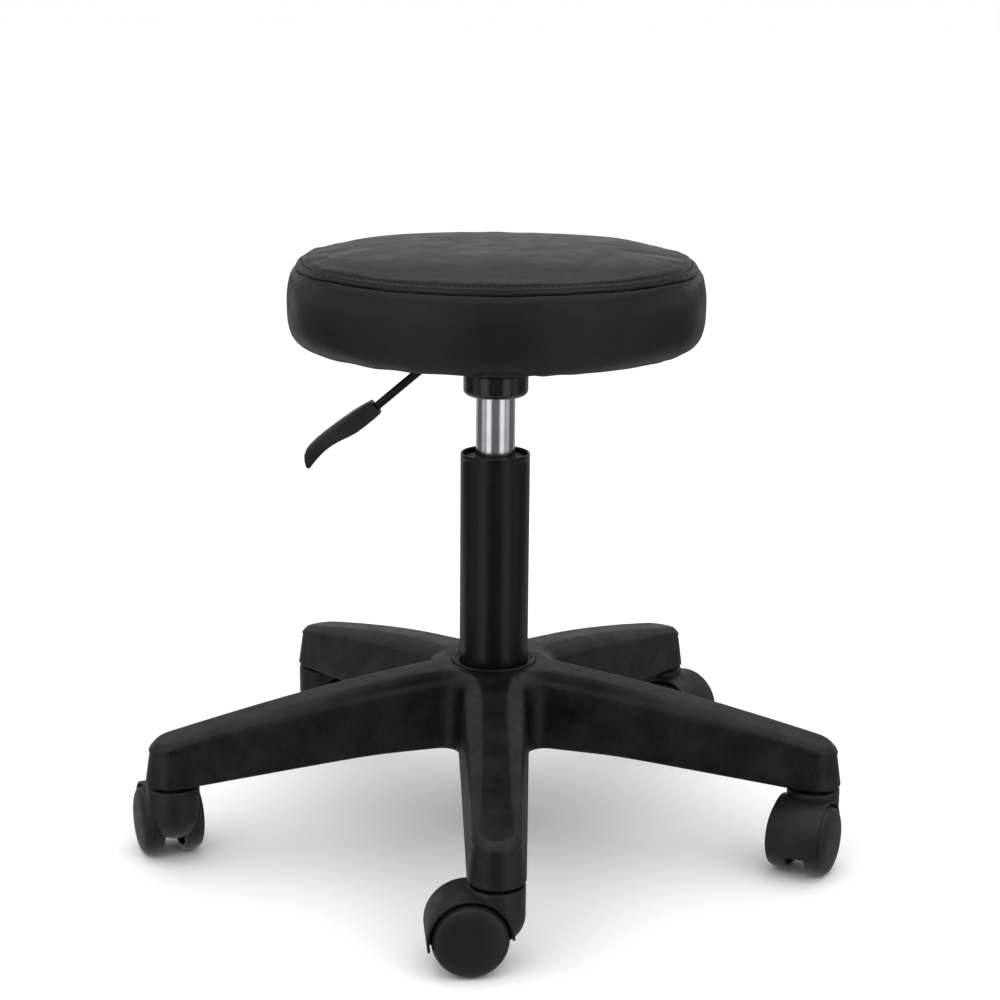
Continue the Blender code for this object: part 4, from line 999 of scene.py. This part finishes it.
def simulated_relief(rings, angles, radius, height, out_r, out_z):
    """How far the simulated cushion stands out at each ring and angle, faded out towards the seam."""
    tree = simulated_cushion()
    found = np.zeros((len(rings), len(angles)))
    back = 0.012
    for i in range(len(rings)):
        for j in range(0, len(angles), 2):
            c, s = cos(angles[j]), sin(angles[j])
            direction = Vector((out_r[i] * c, out_r[i] * s, out_z[i]))
            start = Vector((radius[i] * c, radius[i] * s, height[i])) - direction * back
            hit = tree.ray_cast(start, direction, 0.03)
            found[i, j] = hit[3] - back if hit[0] is not None else 0.0
        found[i, 1::2] = (found[i, 0::2] + np.roll(found[i, 0::2], -1)) / 2
    found -= found.mean(axis=1, keepdims=True)
    found = np.clip(blurred(found, 8, 12), -0.0022, 0.0022)
    fade = np.clip(np.abs(rings) / 0.01, 0.0, 1.0) * np.clip(radius / 0.02, 0.0, 1.0)
    fade *= np.where(rings < 0, 0.46, 0.22)
    return found * fade[:, None]


def sewn_relief(from_seam, from_foot, angles, random):
    """The seam's two grooves, the fullness beside them, puckers, pulls at the foot, and folds."""
    waves = zip((7, 13, 29), random.uniform(0, 2 * pi, 3))
    uneven = 1.0 + 0.3 * sum(np.sin(k * angles + p) for k, p in waves) / 1.7
    spacing = np.cumsum(random.uniform(0.045, 0.115, 160))
    puckers = np.cos(np.interp(angles, spacing, 2 * pi * np.arange(160)))
    puckers *= 0.6 + 0.4 * np.sin(3 * angles + 1.0)
    spacing = np.cumsum(random.uniform(0.1, 0.34, 90))
    pulls = np.cos(np.interp(angles, spacing, 2 * pi * np.arange(90)))
    pulls *= 0.5 + 0.5 * np.sin(2 * angles + 0.7) * np.sin(5 * angles)
    relief = folds(from_seam, angles, random) + 0.0005 * pulls * bell(from_foot, 0.011)
    for depth, place, breadth, varying in (
            (-0.0014, 0.0011, 0.0005, 1.0),
            (-0.00026, -0.0019, 0.0006, 0.6 + 0.4 * uneven[::-1]),
            (-0.0012, STITCH_LINE - 0.0002, 0.0012, 1.0),
            (0.0003, -0.0036, 0.0013, 1.0),
            (0.00075, STITCH_LINE - 0.0044, 0.0034, uneven),
            (0.00055, 0.006, 0.0042, uneven[::-1]),
            (0.00011, STITCH_LINE - 0.006, 0.0062, puckers),
            (0.0001, 0.0065, 0.006, np.roll(puckers, 37)),
            (0.00012, -0.002, 0.0022, np.roll(puckers, 91))):
        relief += depth * varying * bell(from_seam - place, breadth)
    return relief


def add_cushion():
    """The sewn cover over the foam: rings round a profile, moved along its normal, closed over the board."""
    profile, seam = cushion_profile()
    length = along(profile)
    rings = cushion_rings(-length[seam], length[-1] - length[seam])
    here = rings + length[seam]

    def at(distance):
        return np.array([np.interp(distance, length, profile[:, axis]) for axis in (0, 1)])

    radius, height = at(here)
    slope_r, slope_z = at(here + 0.0012) - at(here - 0.0012)
    size = np.hypot(slope_r, slope_z)
    out_r, out_z = -slope_z / size, slope_r / size
    out_r[0], out_z[0] = 0.0, 1.0

    angles = 2 * pi * np.arange(384) / 384
    random = np.random.default_rng(7)
    wobble = sum(a * np.sin(k * angles + p) for a, k, p in
                 zip((0.00022, 0.00016, 0.00012), (5, 11, 23), random.uniform(0, 2 * pi, 3)))
    foot = length[-1] - length[seam] - (SEAT_FOOT_RADIUS - HEM_INNER)
    relief = sewn_relief(rings[:, None] - wobble, rings[:, None] - (foot - 0.01), angles, random)
    relief += simulated_relief(rings, angles, radius, height, out_r, out_z)

    r = radius[:, None] + out_r[:, None] * relief
    z = height[:, None] + out_z[:, None] * relief
    vertices = np.stack([r * np.cos(angles), r * np.sin(angles), z], axis=2)
    lining = high("seat_board").z + 0.0012
    closing = []
    for shrink, lift in ((0.998, 0.001), (1.02, 0.0018)):
        row = vertices[-1] * (shrink, shrink, 0.0) + (0.0, 0.0, SEAT_BOTTOM + lift)
        closing.append(row)
    for reach, level in ((0.1322, SEAT_BOTTOM + 0.0018), (0.1322, lining), (0.0, lining)):
        closing.append([(reach * cos(a), reach * sin(a), level) for a in angles])
    mesh = grid_mesh("cushion", np.concatenate([vertices, closing]), wrap=True, angle=60.0)
    cushion = add("cushion", mesh, "black_vinyl", "seat",
                  ["cover_top", "cover_band", "cover_seam", "seat_foam"])
    add_stitches(*(np.interp(STITCH_LINE, rings, row) for row in (radius, height, out_r, out_z)), wobble)


def add_stitches(radius, height, out_r, out_z, wobble):
    """The row of stitches in the groove above the seam."""
    pitch, thread, sunk, sides = 0.0042, 0.00034, 0.00045, 8
    count = int(2 * pi * radius / pitch)
    stitches = []
    for i in range(count):
        rows = []
        for share, size in ((-0.4, 0.3), (-0.34, 0.9), (-0.15, 1.0), (0.15, 1.0), (0.34, 0.9), (0.4, 0.3)):
            angle = 2 * pi * (i + share) / count
            slack = np.interp(angle % (2 * pi), 2 * pi * np.arange(len(wobble)) / len(wobble), wobble)
            lift = -sunk + (0.00016 if abs(share) < 0.3 else 0.0)
            row = []
            for a in 2 * pi * np.arange(sides) / sides:
                out, aside = lift + thread * size * cos(a), slack + thread * size * sin(a)
                r = radius + out_r * out + out_z * aside
                row.append((r * cos(angle), r * sin(angle), height + out_z * out - out_r * aside))
            rows.append(row)
        stitches.append(grid_mesh("stitch", rows, wrap=True, angle=70.0, close_ends=True))
    add("seam_stitches", merged("seam_stitches", stitches, 70.0), "black_vinyl", "seat", look="black_thread")


def add_dust_cloth():
    """The cloth ring under the board, stapled round its edge and hanging a little slack between."""
    bottom, outer, inner = low("dust_cover").z, half_width("dust_cover"), 0.044
    rows = []
    for level, start, end in ((0.0001, inner, outer), (0.0004, outer, inner)):
        for r in np.linspace(start, end, 26):
            free = min(max((r - 0.078) / 0.01, 0.0), 1.0) * min(max((0.113 - r) / 0.006, 0.0), 1.0)
            row = []
            for a in 2 * pi * np.arange(192) / 192:
                slack = 0.5 + 0.3 * sin(9 * a + 40 * r) + 0.2 * sin(23 * a - 90 * r)
                row.append((r * cos(a), r * sin(a), bottom + level - 0.0008 * free * slack))
            rows.append(row)
    rows.append(rows[0])
    mesh = grid_mesh("dust_cloth", rows, wrap=True, angle=50.0)
    cloth = add("dust_cloth", mesh, "dust_cloth", "seat", ["dust_cover"])


# ---------------------------------------------------------------- the whole stool


def dress_cad_nodes():
    """Gives each node of the frame that still shows its procedural material."""
    slots = {row["node"]: row["material_slot"] for row in frame["record"]["subparts"]}
    for name, node in frame["nodes"].items():
        if not node.hide_render:
            node.data.materials.clear()
            node.data.materials.append(LOOKS[slots[name]])


for make in (add_camera, add_floor, add_lights, add_base, add_hub_ring, add_column, add_bush, add_cylinder,
             add_cup, add_plate_cone, add_plate, add_bolts, add_lever_rod, add_lever_handle, add_casters,
             add_cushion, add_dust_cloth, dress_cad_nodes):
    make()
